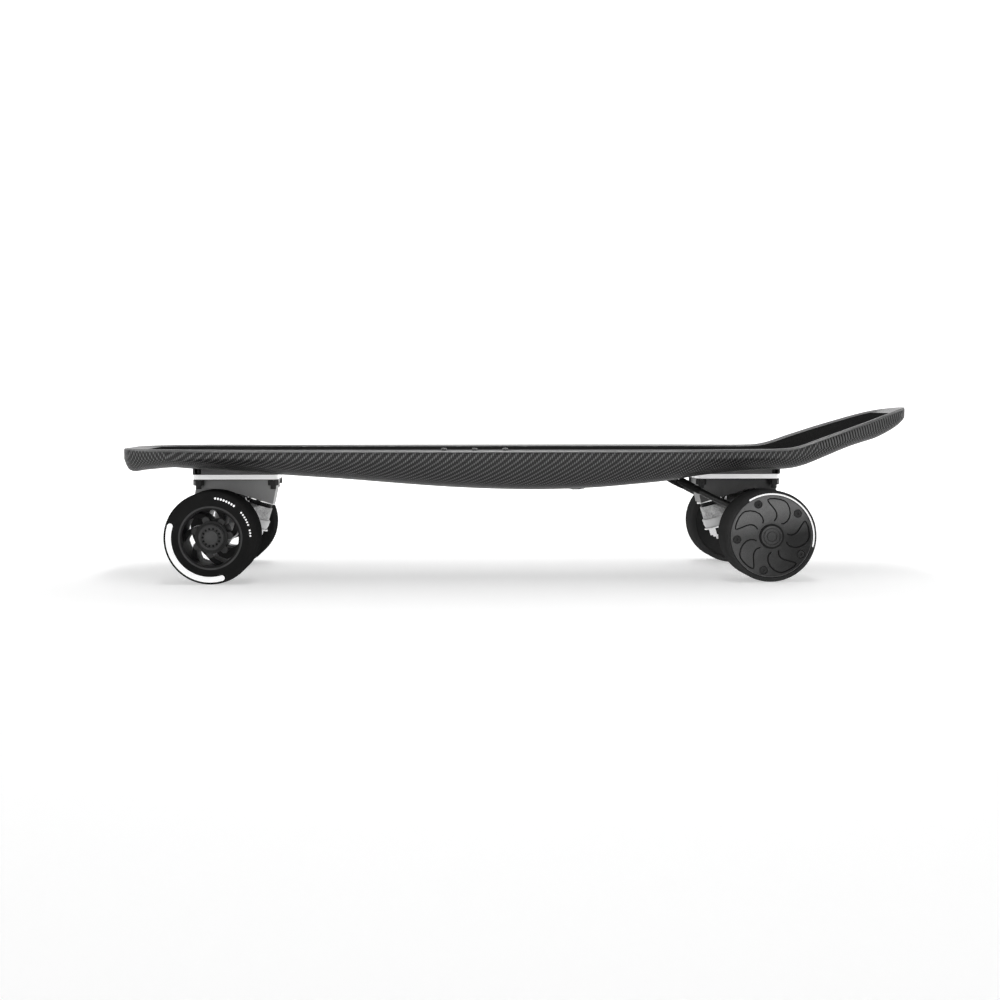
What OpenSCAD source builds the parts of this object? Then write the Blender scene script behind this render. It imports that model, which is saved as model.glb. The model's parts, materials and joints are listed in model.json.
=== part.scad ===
// Electric skateboard: a hollow carbon deck with the battery in its belly, two
// kingpin trucks, two free front wheels and two rear wheels with motors in the hubs.
// X runs from the nose (-X) to the kicktail (+X), Z is up, the floor is z = 0.

/* [Deck] */
// Length of the deck from nose to tail
deck_l = 676; // [672:1:680]
// Width of the deck across its rails
deck_w = 212; // [206:1:216]
// Height of the top of the rails above the floor
rail_z = 108; // [107:0.5:109]
// How far the standing surface lies below the rails
dish = 2; // [1.5:0.1:2.2]
// Wall under the battery bay
floor_t = 2.5; // [2:0.1:2.6]
// Thickness of the battery lid
lid_t = 2.5; // [2.3:0.1:2.5]
// Thickness of the grip sheets
grip_t = 0.8; // [0.6:0.1:1]

/* [Trucks] */
// Distance of the front axle from the middle of the deck
front_x = 254.6; // [254:0.1:255]
// Distance of the rear axle from the middle of the deck
rear_x = 201; // [200.5:0.1:201.5]
// Diameter of the front axle
front_axle_d = 8; // [7.9:0.1:8]
// Diameter of the rear axle
rear_axle_d = 12; // [11.9:0.1:12]
// Length of the bolt pattern
bolt_l = 63.5; // [63:0.1:64]
// Width of the bolt pattern
bolt_w = 41.3; // [41:0.1:42]

/* [Wheels] */
// Diameter of all four wheels
wheel_d = 75; // [75:0.5:76]
// Width of a front wheel
front_w = 54; // [53:0.5:54]
// Width of a rear wheel
rear_w = 45; // [44:0.5:45]
// Width of the board across its wheels
track_w = 232; // [231:0.5:232]
// Number of spokes in a front wheel
spokes = 7; // [5:1:7]
// Number of magnets in a motor
magnets = 20; // [14:2:20]

/* [Hidden] */
$fn = 72;

nose = -deck_l / 2;
tail = deck_l / 2;
half_w = deck_w / 2;
top_z = rail_z - dish;
axle_z = wheel_d / 2;

// Battery bay and the lid over it
bay_x0 = -182;
bay_x1 = 142;
bay_f = 0.655;
lid_x0 = -191;
lid_x1 = 151;
lid_half = 78;
lid_r = 9;
gasket_t = 0.8;
lid_gap = 0.3;
ledge_z = top_z - lid_t - gasket_t;
lid_screw_y = 75.3;
lid_screw_r = 1.5;
lid_spots = concat(
    [for (x = [-170:60:130], y = [-lid_screw_y, lid_screw_y]) [x, y]],
    [for (x = [lid_x0 + 3.5, lid_x1 - 3.5], y = [-35, 35]) [x, y]]
);

// Underside of the deck along its middle, from nose to tail
belly = [
    [nose, 100.5], [nose + 2, 95], [nose + 7, 88.6], [-316, 89.8], [-292, 92], [-279, 91.2],
    [-240, 88.9], [-206, 86.2], [-146, 82], [-103, 78.4], [-60, 75.3], [-16, 73.4], [20, 73],
    [60, 74.4], [90, 76.8], [125, 80.4], [152, 84.8], [190, 88.2], [228, 90], [240, 92.4],
    [250, 96], [262, 101], [278, 107.4], [292, 111.8], [305, 115.4], [319, 121.4],
    [330, 127.6], [tail - 3, 131.6], [tail, 135]
];
// Top of the rails along the deck
rails = [
    [nose, rail_z - 1.4], [nose + 2, rail_z - 0.3], [nose + 5, rail_z + 0.1], [-300, rail_z + 0.3],
    [-250, rail_z + 0.2], [-226, rail_z], [-215, rail_z], [200, rail_z], [216, rail_z + 0.3],
    [224, rail_z + 0.9], [232, rail_z + 2.6], [240, rail_z + 5.2], [250, rail_z + 8.8],
    [276, rail_z + 17.5], [295, rail_z + 23.6], [309, rail_z + 28.1], [320, rail_z + 31.2],
    [332, rail_z + 33.6], [tail, rail_z + 34.5]
];
rail_t = 8;

// Plate of a truck, with u counted inward from the axle
plate_u = 11.9;
plate_l = 72;
plate_w = 54;
plate_t = 4.5;
plate_z = 85.3;
pad_in_z = 86.7;
pad_out_z = 92.8;
bolt_r = 2.5;
// Length by which a riser reaches past its plate on the kingpin side
pad_more = 5;

// Kingpin and steering axis
tilt = 17;
seat = [32, 62.7];
ring_top = 5;
ring_t = 11;
ring_r = 11;
king_r = 5;
washer_t = 1.2;
lower_t = 8;
ring_mid = ring_top + ring_t / 2;
pivot_reach = 50;
nose_r = 5.5;
cup_r = 8;

// Panel with the button and the charging socket under the belly
panel_x = 49;
panel_z = 72.4;
panel_r = 7.7;
panel_y = 18;
panel_t = 5;
button_r = 4.6;
cap_r = 6.6;
cap_t = 1.4;
cap_hinge_y = panel_y - cap_r - 3.4;
cap_hinge_z = panel_z + 1;

// Motor lead, from the gland in the belly to the collar beside the motor
lead_d = 5.5;
lead_pts = [
    [135, 45, 81.4], [138.6, 46.2, 78.8], [145, 48.8, 75.2], [153, 52, 71],
    [162, 55.6, 66.4], [171, 58.8, 62.2], [180, 61.4, 58.2], [186, 62.8, 55.2], [189, 63, 52.4]
];
gland_dir = [0.8, 0.2, -0.566];
entry_dir = [0.63, 0, -0.777];

// Wheels, with y counted outward
outer_y = track_w / 2;
front_y = outer_y - front_w / 2;
rear_y = outer_y - rear_w / 2;
fit_gap = 0.04;
core_r = 26;
core_in_r = 22.8;
hub_r = 13.2;
bearing_r = 11;
bearing_t = 7;
recess = 8;
can_r = 33;
can_in_r = 26.5;

// ---------- helpers ----------

function mix(a, b, f) = a + (b - a) * f;
function ease(f) = let (c = max(0, min(1, f))) c * c * (3 - 2 * c);
function unit(v) = v / norm(v);

// Slope of a smooth curve at key i
function key_slope(k, i) =
    let (a = k[max(0, i - 1)], b = k[min(len(k) - 1, i + 1)])
    (b[1] - a[1]) / (b[0] - a[0]);
// Key that starts the stretch holding x
function key_at(k, x, i = 0) = (i >= len(k) - 2 || x < k[i + 1][0]) ? i : key_at(k, x, i + 1);
// Height of the smooth curve through the keys
function along(k, x) =
    let (
        i = key_at(k, x),
        h = k[i + 1][0] - k[i][0],
        f = max(0, min(1, (x - k[i][0]) / h)),
        m0 = key_slope(k, i) * h,
        m1 = key_slope(k, i + 1) * h
    )
    k[i][1] * (2 * pow(f, 3) - 3 * f * f + 1) + m0 * (pow(f, 3) - 2 * f * f + f)
        + k[i + 1][1] * (3 * f * f - 2 * pow(f, 3)) + m1 * (pow(f, 3) - f * f);

// Half the width of the deck: a rounded nose and a narrower rounded tail
function end_round(f, p) = pow(max(0, 1 - pow(max(0, min(1, f)), p)), 1 / p);
function deck_half(x) =
    half_w * (x < 0 ? 1 - 0.05 * ease(-x / 300) : 1 - 0.26 * ease((x - 120) / 140))
        * (x < -240 ? end_round((-x - 240) / (-nose - 240), 2.5) : 1)
        * (x > 240 ? end_round((x - 240) / (tail - 240), 2) : 1);

function rail_at(x) = along(rails, x);
function belly_at(x) = along(belly, x);
// Height of the underside at a share t of the half width
function under_at(x, t) =
    let (edge = rail_at(x) - rail_t, low = belly_at(x))
    edge - (edge - low) * (1 - pow(max(0, (t - 0.28) / 0.72), 3.4));
// Height of the standing surface at a share t of the half width
function over_at(x, t) =
    let (fade = ease((x - nose - 6) / 14) * ease((tail - 6 - x) / 14))
    rail_at(x) - dish * fade * (1 - ease((t - 0.80) / 0.13));

bay_ts = [0, 0.28, 0.45, bay_f - 0.0005];
top_ts = [bay_f + 0.0005, 0.8, 0.865, 0.93];
under_ts = [0.98, 0.93, 0.84, 0.72, 0.6, 0.46, 0.28, 0];
// Half of the outline of the deck across X, from the middle of its top to the middle of its underside
function half_section(x) =
    let (
        w = max(0.4, deck_half(x)),
        rail = rail_at(x),
        in_bay = x > bay_x0 && x < bay_x1,
        drop = min(1, (rail - belly_at(x)) / (2 * rail_t)),
        soft = min(1, w / 12)
    )
    concat(
        [for (t = bay_ts) [t * w, in_bay ? under_at(x, t) + floor_t : over_at(x, t)]],
        [for (t = top_ts) [t * w, over_at(x, t)]],
        [
            [w - 3.2 * soft, rail - 0.1 * drop], [w - 1.3 * soft, rail - 0.7 * drop],
            [w - 0.3 * soft, rail - 2.2 * drop], [w, rail - 4.4 * drop],
            [w - 0.3 * soft, rail - 6.6 * drop]
        ],
        [for (t = under_ts) [t * w, min(under_at(x, t), rail - 7 * drop)]]
    );
function section(x) =
    let (h = half_section(x), n = len(h))
    concat([for (p = h) [x, p[0], p[1]]], [for (i = [n - 2:-1:1]) [x, -h[i][0], h[i][1]]]);

// Closed solid through a list of rings with the same number of points
module skin(rings) {
    n = len(rings[0]);
    m = len(rings);
    points = [for (r = rings, p = r) p];
    sides = [
        for (i = [0:m - 2], j = [0:n - 1])
        let (a = i * n + j, b = i * n + (j + 1) % n)
        each [[a, b, b + n], [a, b + n, a + n]]
    ];
    polyhedron(
        points = points,
        faces = concat(sides, [[for (j = [n - 1:-1:0]) j]], [[for (j = [0:n - 1]) (m - 1) * n + j]])
    );
}

// Flat plate with round corners, between two X values
module round_plate(x0, x1, half, r, z0, z1) {
    translate([x0 + r, -half, z0]) cube([x1 - x0 - 2 * r, 2 * half, z1 - z0]);
    translate([x0, -half + r, z0]) cube([x1 - x0, 2 * half - 2 * r, z1 - z0]);
    for (x = [x0 + r, x1 - r], y = [-half + r, half - r])
        translate([x, y, z0]) cylinder(r = r, h = z1 - z0);
}

module front_place() { translate([-front_x, 0, 0]) children(); }
module rear_place() { translate([rear_x, 0, 0]) mirror([1, 0, 0]) children(); }
module both_trucks() {
    front_place() children();
    rear_place() children();
}
// Puts local Z along the kingpin, downward from the seat
module on_kingpin(t = 0) {
    translate([seat[0], 0, seat[1]]) rotate([0, 180 + tilt, 0]) translate([0, 0, t]) children();
}
// Puts local Z along the steering axis, from the kingpin ring to the pivot
module on_pivot(d = 0) {
    on_kingpin(ring_mid) rotate([0, 90, 0]) translate([0, 0, d]) children();
}
module bolt_spots() {
    for (u = [-bolt_l / 2, bolt_l / 2], y = [-bolt_w / 2, bolt_w / 2])
        translate([plate_u + u, y, 0]) children();
}
// Puts local Z along the axle, outward on the left (-Y) or the right (+Y)
module wheel_place(x, y, side) {
    translate([x, side * y, axle_z]) rotate([side > 0 ? -90 : 90, 0, 0]) children();
}
module both_sides() {
    children();
    mirror([0, 1, 0]) children();
}
module ring(r_in, r_out, h) {
    difference() {
        cylinder(r = r_out, h = h);
        translate([0, 0, -1]) cylinder(r = r_in, h = h + 2);
    }
}

// ---------- deck ----------

deck_xs = concat(
    [nose, nose + 0.6, nose + 2.5, nose + 6, nose + 12, nose + 22, nose + 36, nose + 55],
    [-255, -220, bay_x0 - 0.05, bay_x0 + 0.05, -140, -95, -50, -5, 40, 80, 115],
    [bay_x1 - 0.05, bay_x1 + 0.05, 170, 195, 212, 222, 230, 238, 247, 258, 272, 288],
    [tail - 34, tail - 20, tail - 11, tail - 5, tail - 2, tail - 0.5, tail]
);

// Flat seat for a riser, cut into the underside
module riser_seat() {
    seat_end = plate_u + plate_l / 2 + pad_more + 2;
    translate([0, plate_w / 2 + 2, 0]) rotate([90, 0, 0]) linear_extrude(height = plate_w + 4)
        polygon([
            [plate_u - plate_l / 2 - 2, 60], [seat_end, 60], [seat_end, pad_z(seat_end)],
            [plate_u - plate_l / 2 - 2, pad_z(plate_u - plate_l / 2 - 2)]
        ]);
}
function pad_z(u) =
    mix(pad_out_z, pad_in_z, (u - plate_u + plate_l / 2) / plate_l);

module panel_shape(r, h) {
    translate([-r, -panel_y, 0]) cube([2 * r, 2 * panel_y, h]);
    for (y = [-panel_y, panel_y]) translate([0, y, 0]) cylinder(r = r, h = h);
}

// Puts local Z along a direction
module point_along(p, v) {
    translate(p) rotate([0, acos(unit(v)[2]), atan2(v[1], v[0])]) children();
}

module deck_shell() {
    $fn = 20;
    // resize() with zeros keeps every size and makes the deck one faceted shell
    color("#1b1c1e") resize([0, 0, 0]) difference() {
        skin([for (x = deck_xs) section(x)]);
        round_plate(lid_x0 - lid_gap, lid_x1 + lid_gap, lid_half + lid_gap, lid_r, ledge_z, 120);
        both_trucks() riser_seat();
        both_trucks() bolt_spots() {
            translate([0, 0, 60]) cylinder(r = bolt_r + 0.1, h = 60);
            translate([0, 0, top_z - 2.7]) cylinder(r1 = bolt_r + 0.1, r2 = 5, h = 2.7);
            translate([0, 0, top_z]) cylinder(r = 5, h = 20);
        }
        for (p = lid_spots)
            translate([p[0], p[1], ledge_z - 7]) cylinder(r = lid_screw_r, h = 8);
        translate([panel_x, 0, 60]) panel_shape(panel_r + 0.1, 20);
        both_sides() point_along(lead_pts[0], gland_dir) translate([0, 0, -18])
            cylinder(r = 4.1, h = 30);
        for (x = gauge_x)
            translate([x, -gauge_y, rail_z - 2.5]) cylinder(r = 2.4, h = 8);
    }
}

module deck_lid() {
    color("#202123") difference() {
        round_plate(lid_x0, lid_x1, lid_half, lid_r, top_z - lid_t, top_z);
        for (p = lid_spots) translate([p[0], p[1], top_z - lid_t - 1]) {
            cylinder(r = lid_screw_r + 0.1, h = 10);
            translate([0, 0, lid_t + 1 - 1.5]) cylinder(r1 = lid_screw_r + 0.1, r2 = 3, h = 1.5);
        }
    }
}

module lid_gasket() {
    color("#101010") difference() {
        round_plate(bay_x0 - 3.5, bay_x1 + 3.5, 73.2, 6, ledge_z, ledge_z + gasket_t);
        round_plate(bay_x0 - 1, bay_x1 + 1, 70.6, 4, ledge_z - 1, ledge_z + 2);
    }
}

module lid_screws() {
    color("#3a3a3c") for (p = lid_spots) translate([p[0], p[1], 0]) difference() {
        union() {
            translate([0, 0, ledge_z - 6]) cylinder(r = lid_screw_r - 0.03, h = top_z - ledge_z + 5);
            translate([0, 0, top_z - 1.4]) cylinder(r1 = lid_screw_r - 0.03, r2 = 2.8, h = 1.3);
        }
        translate([0, 0, top_z - 1]) cylinder(r = 1.1, h = 2, $fn = 6);
    }
}

// Sheet of grip that follows the standing surface between two X values
function grip_half(x) = min(0.79 * deck_half(x), 84);
module grip_sheet(x0, x1) {
    xs = concat([x0], [for (x = deck_xs) if (x > x0 && x < x1) x], [x1]);
    skin([
        for (x = xs)
        let (z = over_at(x, 0) + 0.02, g = grip_half(x))
        [[x, g, z + grip_t], [x, g, z], [x, -g, z], [x, -g, z + grip_t]]
    ]);
}
module bolt_eyes() {
    both_trucks() bolt_spots() translate([0, 0, 90]) cylinder(r = 5.4, h = 40);
}
module grip_front() {
    color("#262628") difference() {
        grip_sheet(nose + 22, lid_x0 - 1);
        bolt_eyes();
    }
}
module grip_rear() {
    color("#262628") difference() {
        grip_sheet(lid_x1 + 1, tail - 20);
        bolt_eyes();
    }
}
module grip_lid() {
    color("#262628") difference() {
        round_plate(lid_x0 + 0.5, lid_x1 - 0.5, lid_half - 0.5, lid_r - 0.5, top_z + 0.02,
            top_z + 0.02 + grip_t);
        for (p = lid_spots) translate([p[0], p[1], top_z - 1]) cylinder(r = 3.4, h = 4);
    }
}

gauge_x = [-66, -41, -16];
gauge_y = 100.5;
module gauge_lenses() {
    color("#f2f2ee") for (x = gauge_x) translate([x, -gauge_y, rail_z - 2.4]) {
        cylinder(r = 2.3, h = 3.2);
        translate([0, 0, 3.2]) cylinder(r1 = 2.3, r2 = 1.5, h = 0.7);
    }
}

// ---------- inside the deck ----------

cell_r = 9.2;
cell_l = 65;
cell_rows = 10;
cell_pitch = 18.8;
cell_z = 84.2 + cell_r;
module battery_cells() {
    color("#3f6f8f") for (i = [0:cell_rows - 1], side = [-1, 1])
        translate([2 + (i - (cell_rows - 1) / 2) * cell_pitch, side * (cell_l / 2 + 1), cell_z])
            rotate([90, 0, 0]) translate([0, 0, -cell_l / 2]) {
                cylinder(r = cell_r, h = cell_l);
                translate([0, 0, cell_l]) cylinder(r = 2.6, h = 0.8);
            }
}

module bms_board() {
    color("#1f5a3a") {
        translate([-172, -32, 90]) cube([66, 64, 1.6]);
        for (y = [-24, -8, 8, 24]) translate([-160, y - 5, 91.6]) cube([10, 10, 3.2]);
        translate([-138, -20, 91.6]) cube([22, 40, 5]);
    }
}

module motor_controller() {
    color("#6a6d70") {
        translate([96.4, -48, 88]) cube([32, 96, 8]);
        for (i = [0:11]) translate([96.4, -46 + i * 8, 96]) cube([32, 3, 4]);
    }
}

module port_panel() {
    color("#141414") difference() {
        translate([panel_x, 0, panel_z]) panel_shape(panel_r, panel_t);
        translate([panel_x, -panel_y, panel_z - 1]) cylinder(r = button_r + 0.08, h = 8);
        translate([panel_x, panel_y, panel_z - 1]) cylinder(r = 4.2, h = 8);
        translate([panel_x, panel_y, panel_z - 1]) cylinder(r = cap_r + 0.3, h = 2);
        translate([panel_x - 3.8, cap_hinge_y - 2.4, panel_z - 1]) cube([7.6, 7, 3.8]);
        translate([panel_x - 5.2, cap_hinge_y, cap_hinge_z]) rotate([0, 90, 0])
            cylinder(r = 0.74, h = 10.4);
    }
}
module charge_socket() {
    color("#8b8d90") translate([panel_x, panel_y, panel_z]) {
        translate([0, 0, 3.2]) ring(2.8, 4.1, 7);
        translate([0, 0, panel_t]) ring(4.15, 5.6, 4);
        translate([0, 0, 10.2]) cylinder(r = 4.1, h = 0.8);
        translate([0, 0, 5.2]) cylinder(r = 0.9, h = 5);
    }
}
module charge_cap() {
    color("#0f0f10") {
        translate([panel_x, panel_y, panel_z - 0.6]) cylinder(r = cap_r, h = cap_t);
        translate([panel_x, panel_y, panel_z + 0.6]) cylinder(r = 3.4, h = 1.6);
        translate([panel_x - 2.5, cap_hinge_y, panel_z - 0.6]) cube([5, 5, cap_t]);
        translate([panel_x - 2.5, cap_hinge_y - 0.7, panel_z - 0.2]) cube([5, 1.4, 1.8]);
        translate([panel_x - 5, cap_hinge_y, cap_hinge_z]) rotate([0, 90, 0])
            cylinder(r = 0.7, h = 10);
    }
}
module power_button() {
    color("#d9dadb") translate([panel_x, -panel_y, panel_z]) {
        translate([0, 0, -1]) cylinder(r1 = button_r - 1, r2 = button_r, h = 0.4);
        translate([0, 0, -0.6]) cylinder(r = button_r, h = panel_t + 1.5);
        translate([0, 0, panel_t + 0.1]) cylinder(r = button_r + 1, h = 0.8);
    }
}

module cable_glands() {
    color("#0e0e0e") both_sides() point_along(lead_pts[0], gland_dir) {
        translate([0, 0, -7]) cylinder(r = 4, h = 7);
    }
}

// ---------- trucks ----------

module riser() {
    difference() {
        translate([0, plate_w / 2, 0]) rotate([90, 0, 0]) linear_extrude(height = plate_w)
            polygon([
                [plate_u - plate_l / 2, plate_z], [plate_u + plate_l / 2 + pad_more, plate_z],
                [plate_u + plate_l / 2 + pad_more, pad_z(plate_u + plate_l / 2 + pad_more)],
                [plate_u - plate_l / 2, pad_z(plate_u - plate_l / 2)]
            ]);
        bolt_spots() translate([0, 0, 80]) cylinder(r = bolt_r + 0.3, h = 20);
        for (u = [-bolt_l / 2, bolt_l / 2], side = [-1, 1])
            translate([plate_u + u - 2.8, side * (plate_w / 2 - 3) - 4, 80]) cube([5.6, 8, 20]);
        on_kingpin(-40) cylinder(r = 9.2, h = 26);
    }
}
module riser_pads() { color("#202124") both_trucks() riser(); }

module baseplate() {
    difference() {
        union() {
            round_plate(plate_u - plate_l / 2, plate_u + plate_l / 2, plate_w / 2, 5,
                plate_z - plate_t, plate_z);
            translate([0, 16, 0]) rotate([90, 0, 0]) linear_extrude(height = 32)
                polygon([
                    [47.2, 81], [42.8, 59.4], [4, 71.26], [-16, 74], [-16, 81]
                ]);
            hull() {
                on_pivot(41) cylinder(r = 10.4, h = 14, $fn = 40);
                translate([-22, -12, 80]) cube([20, 24, 1]);
            }
        }
        on_pivot(36) cylinder(r = cup_r, h = 17);
        on_kingpin(-40) cylinder(r = king_r + 0.02, h = 60);
        on_kingpin(-40) cylinder(r = 9.2, h = 26);
        bolt_spots() translate([0, 0, 60]) cylinder(r = bolt_r + 0.15, h = 30);
    }
}
module front_baseplate() { color("#5a5d61") front_place() baseplate(); }
module rear_baseplate() { color("#5a5d61") rear_place() baseplate(); }

module truck_bolts() {
    color("#2b2c2e") both_trucks() bolt_spots() difference() {
        union() {
            translate([0, 0, 72.7]) cylinder(r = bolt_r, h = top_z - 72.7 - 1);
            translate([0, 0, top_z - 2.6]) cylinder(r1 = bolt_r, r2 = 4.8, h = 2.5);
        }
        translate([0, 0, top_z - 2]) cylinder(r = 1.8, h = 3, $fn = 6);
    }
}
module truck_nuts() {
    color("#1f2022") both_trucks() bolt_spots()
        translate([0, 0, plate_z - plate_t - 5]) difference() {
            union() {
                cylinder(r = 4.6, h = 4, $fn = 6);
                translate([0, 0, 4]) cylinder(r = 4.6, h = 1);
            }
            translate([0, 0, -1]) cylinder(r = bolt_r + 0.01, h = 8);
        }
}

king_end = ring_top + ring_t + lower_t + washer_t + 10.5;
module kingpins() {
    color("#b9bbbe") both_trucks() {
        on_kingpin(-14) cylinder(r = king_r, h = 14 + king_end);
        on_kingpin(-20) cylinder(r = 8, h = 6, $fn = 6);
    }
}
nut_t = ring_top + ring_t + lower_t + washer_t;
module kingpin_nuts() {
    color("#e3e4e6") both_trucks() on_kingpin(nut_t) difference() {
        union() {
            cylinder(r = 9.2, h = 6, $fn = 6);
            translate([0, 0, 6]) cylinder(r = 7, h = 1.8);
        }
        translate([0, 0, -1]) cylinder(r = king_r + 0.01, h = 12);
    }
}
module cup_washers() {
    color("#e8e9ea") both_trucks() {
        on_kingpin(0.02) ring(king_r + 0.01, 12.5, washer_t - 0.04);
        on_kingpin(nut_t - washer_t + 0.02) ring(king_r + 0.01, 12.5, washer_t - 0.04);
    }
}
module pivot_cups() {
    color("#151515") both_trucks() difference() {
        on_pivot(41.5) cylinder(r = cup_r, h = 11.4);
        on_pivot(30) cylinder(r = nose_r + fit_gap, h = 20.6);
    }
}

module hanger(end_y, end_r, bore_r) {
    difference() {
        union() {
            translate([0, 22, axle_z]) rotate([90, 0, 0]) cylinder(r = 11.5, h = 44);
            both_sides() translate([0, 22, axle_z]) rotate([-90, 0, 0])
                cylinder(r1 = 11.5, r2 = end_r, h = end_y - 22);
            hull() {
                on_kingpin(ring_top) cylinder(r = ring_r, h = ring_t, $fn = 32);
                translate([0, 15, axle_z + 1]) rotate([90, 0, 0]) cylinder(r = 9.5, h = 30, $fn = 32);
            }
            hull() {
                on_pivot(24) cylinder(r = 7, h = 12, $fn = 32);
                translate([-2, 14, axle_z + 3]) rotate([90, 0, 0]) cylinder(r = 7, h = 28, $fn = 32);
            }
            on_pivot(0) cylinder(r = 8.6, h = 38);
            on_pivot(30) cylinder(r = nose_r, h = pivot_reach - 30);
        }
        on_kingpin(-6) cylinder(r = 14, h = 6 + ring_top);
        on_kingpin(ring_top + ring_t) cylinder(r = 17, h = 40);
        on_kingpin(-6) cylinder(r = 7.4, h = 40);
        translate([0, 100, axle_z]) rotate([90, 0, 0]) cylinder(r = bore_r, h = 200);
    }
}
front_end_y = outer_y - front_w - 3;
rear_end_y = outer_y - rear_w - 11;
module front_hanger() {
    color("#9a9c9e") front_place() hanger(front_end_y, 8.5, front_axle_d / 2);
}
module rear_hanger() {
    color("#9a9c9e") rear_place() hanger(rear_end_y, 10.5, rear_axle_d / 2);
}

module upper_bushing() {
    on_kingpin(washer_t + 0.05) ring(king_r + 0.05, 10, ring_top - washer_t - 0.07);
}
module lower_bushing() {
    on_kingpin(ring_top + ring_t + 0.02) difference() {
        cylinder(r1 = 12.4, r2 = 11.4, h = lower_t - 0.07);
        translate([0, 0, -1]) cylinder(r = king_r + 0.05, h = 12);
    }
}
module front_upper_bushing() { color("#19191a") front_place() upper_bushing(); }
module front_lower_bushing() { color("#e9e7e0") front_place() lower_bushing(); }
module rear_upper_bushing() { color("#19191a") rear_place() upper_bushing(); }
module rear_lower_bushing() { color("#e9e7e0") rear_place() lower_bushing(); }

module axle(d, reach) {
    translate([0, reach, axle_z]) rotate([90, 0, 0]) cylinder(r = d / 2, h = 2 * reach);
}
front_reach = outer_y - recess - 2.6;
rear_reach = outer_y - 3.5;
module front_axle() { color("#b4b6b9") front_place() axle(front_axle_d, front_reach); }
module rear_axle() { color("#b4b6b9") rear_place() axle(rear_axle_d, rear_reach); }

// Nuts that hold the wheels, and the sleeves between hanger and bearings
module front_axle_nuts() {
    color("#c9cbcd") for (side = [-1, 1]) wheel_place(-front_x, 0, side) {
        translate([0, 0, outer_y - recess - 9.4]) difference() {
            cylinder(r = 7.2, h = 6, $fn = 6);
            translate([0, 0, -1]) cylinder(r = front_axle_d / 2, h = 8);
        }
        translate([0, 0, front_end_y]) ring(front_axle_d / 2, 6, 6.9);
    }
}
module rear_axle_nuts() {
    color("#c9cbcd") for (side = [-1, 1]) wheel_place(rear_x, 0, side)
        translate([0, 0, rear_reach - 4.4]) difference() {
            cylinder(r = 8.6, h = 4, $fn = 6);
            translate([0, 0, -1]) cylinder(r = rear_axle_d / 2, h = 6);
        }
}

// ---------- motors ----------

collar_y = rear_end_y + 0.02;
module motor_collars() {
    color("#77797c") both_sides() difference() {
        union() {
            translate([rear_x, collar_y, axle_z]) rotate([-90, 0, 0]) cylinder(r = 13, h = 9);
            point_along(lead_pts[8], entry_dir) cylinder(r = 4, h = 9);
        }
        translate([rear_x, collar_y - 1, axle_z]) rotate([-90, 0, 0])
            cylinder(r = rear_axle_d / 2, h = 20);
    }
}

stator_z = -13;
stator_h = 22;
slots = 12;
module stator_teeth() {
    difference() {
        union() {
            cylinder(r = 14, h = stator_h);
            for (i = [0:slots - 1]) rotate([0, 0, i * 360 / slots]) {
                translate([12, -1.6, 0]) cube([10.6, 3.2, stator_h]);
                translate([20.6, -4.4, 0]) cube([2.2, 8.8, stator_h]);
            }
        }
        translate([0, 0, -1]) cylinder(r = rear_axle_d / 2, h = stator_h + 2);
    }
}
module motor_stators() {
    color("#7d8084") for (side = [-1, 1]) wheel_place(rear_x, rear_y, side)
        translate([0, 0, stator_z]) stator_teeth();
}
module motor_windings() {
    color("#b06a32") for (side = [-1, 1], i = [0:slots - 1])
        wheel_place(rear_x, rear_y, side) rotate([0, 0, i * 360 / slots]) difference() {
            translate([14.6, -2.9, stator_z - 1.6]) cube([5.6, 5.8, stator_h + 3.2]);
            translate([13, -1.65, stator_z - 0.05]) cube([9, 3.3, stator_h + 0.1]);
        }
}

// Tube along a route, with flat ends across the given directions
function ring_at(p, t, r, n) =
    let (s = unit(cross(t, [0, 1, 0])), u = unit(cross(s, t)))
    [for (j = [0:n - 1]) p + r * (cos(360 * j / n) * s + sin(360 * j / n) * u)];
module tube(pts, r, n, t0, t1) {
    m = len(pts);
    skin([
        for (i = [0:m - 1])
        ring_at(pts[i], unit(i == 0 ? t0 : i == m - 1 ? t1 : pts[i + 1] - pts[i - 1]), r, n)
    ]);
}
module motor_lead() { tube(lead_pts, lead_d / 2, 10, gland_dir, entry_dir); }
module motor_cable_right() { color("#0c0c0d") motor_lead(); }
module motor_cable_left() { color("#0c0c0d") mirror([0, 1, 0]) motor_lead(); }

// ---------- front wheels ----------

// Quarter arc of points round c, from angle a0 to a1
function arc(c, r, a0, a1, n = 5) =
    [for (i = [0:n]) let (a = mix(a0, a1, i / n)) c + r * [cos(a), sin(a)]];

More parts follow.
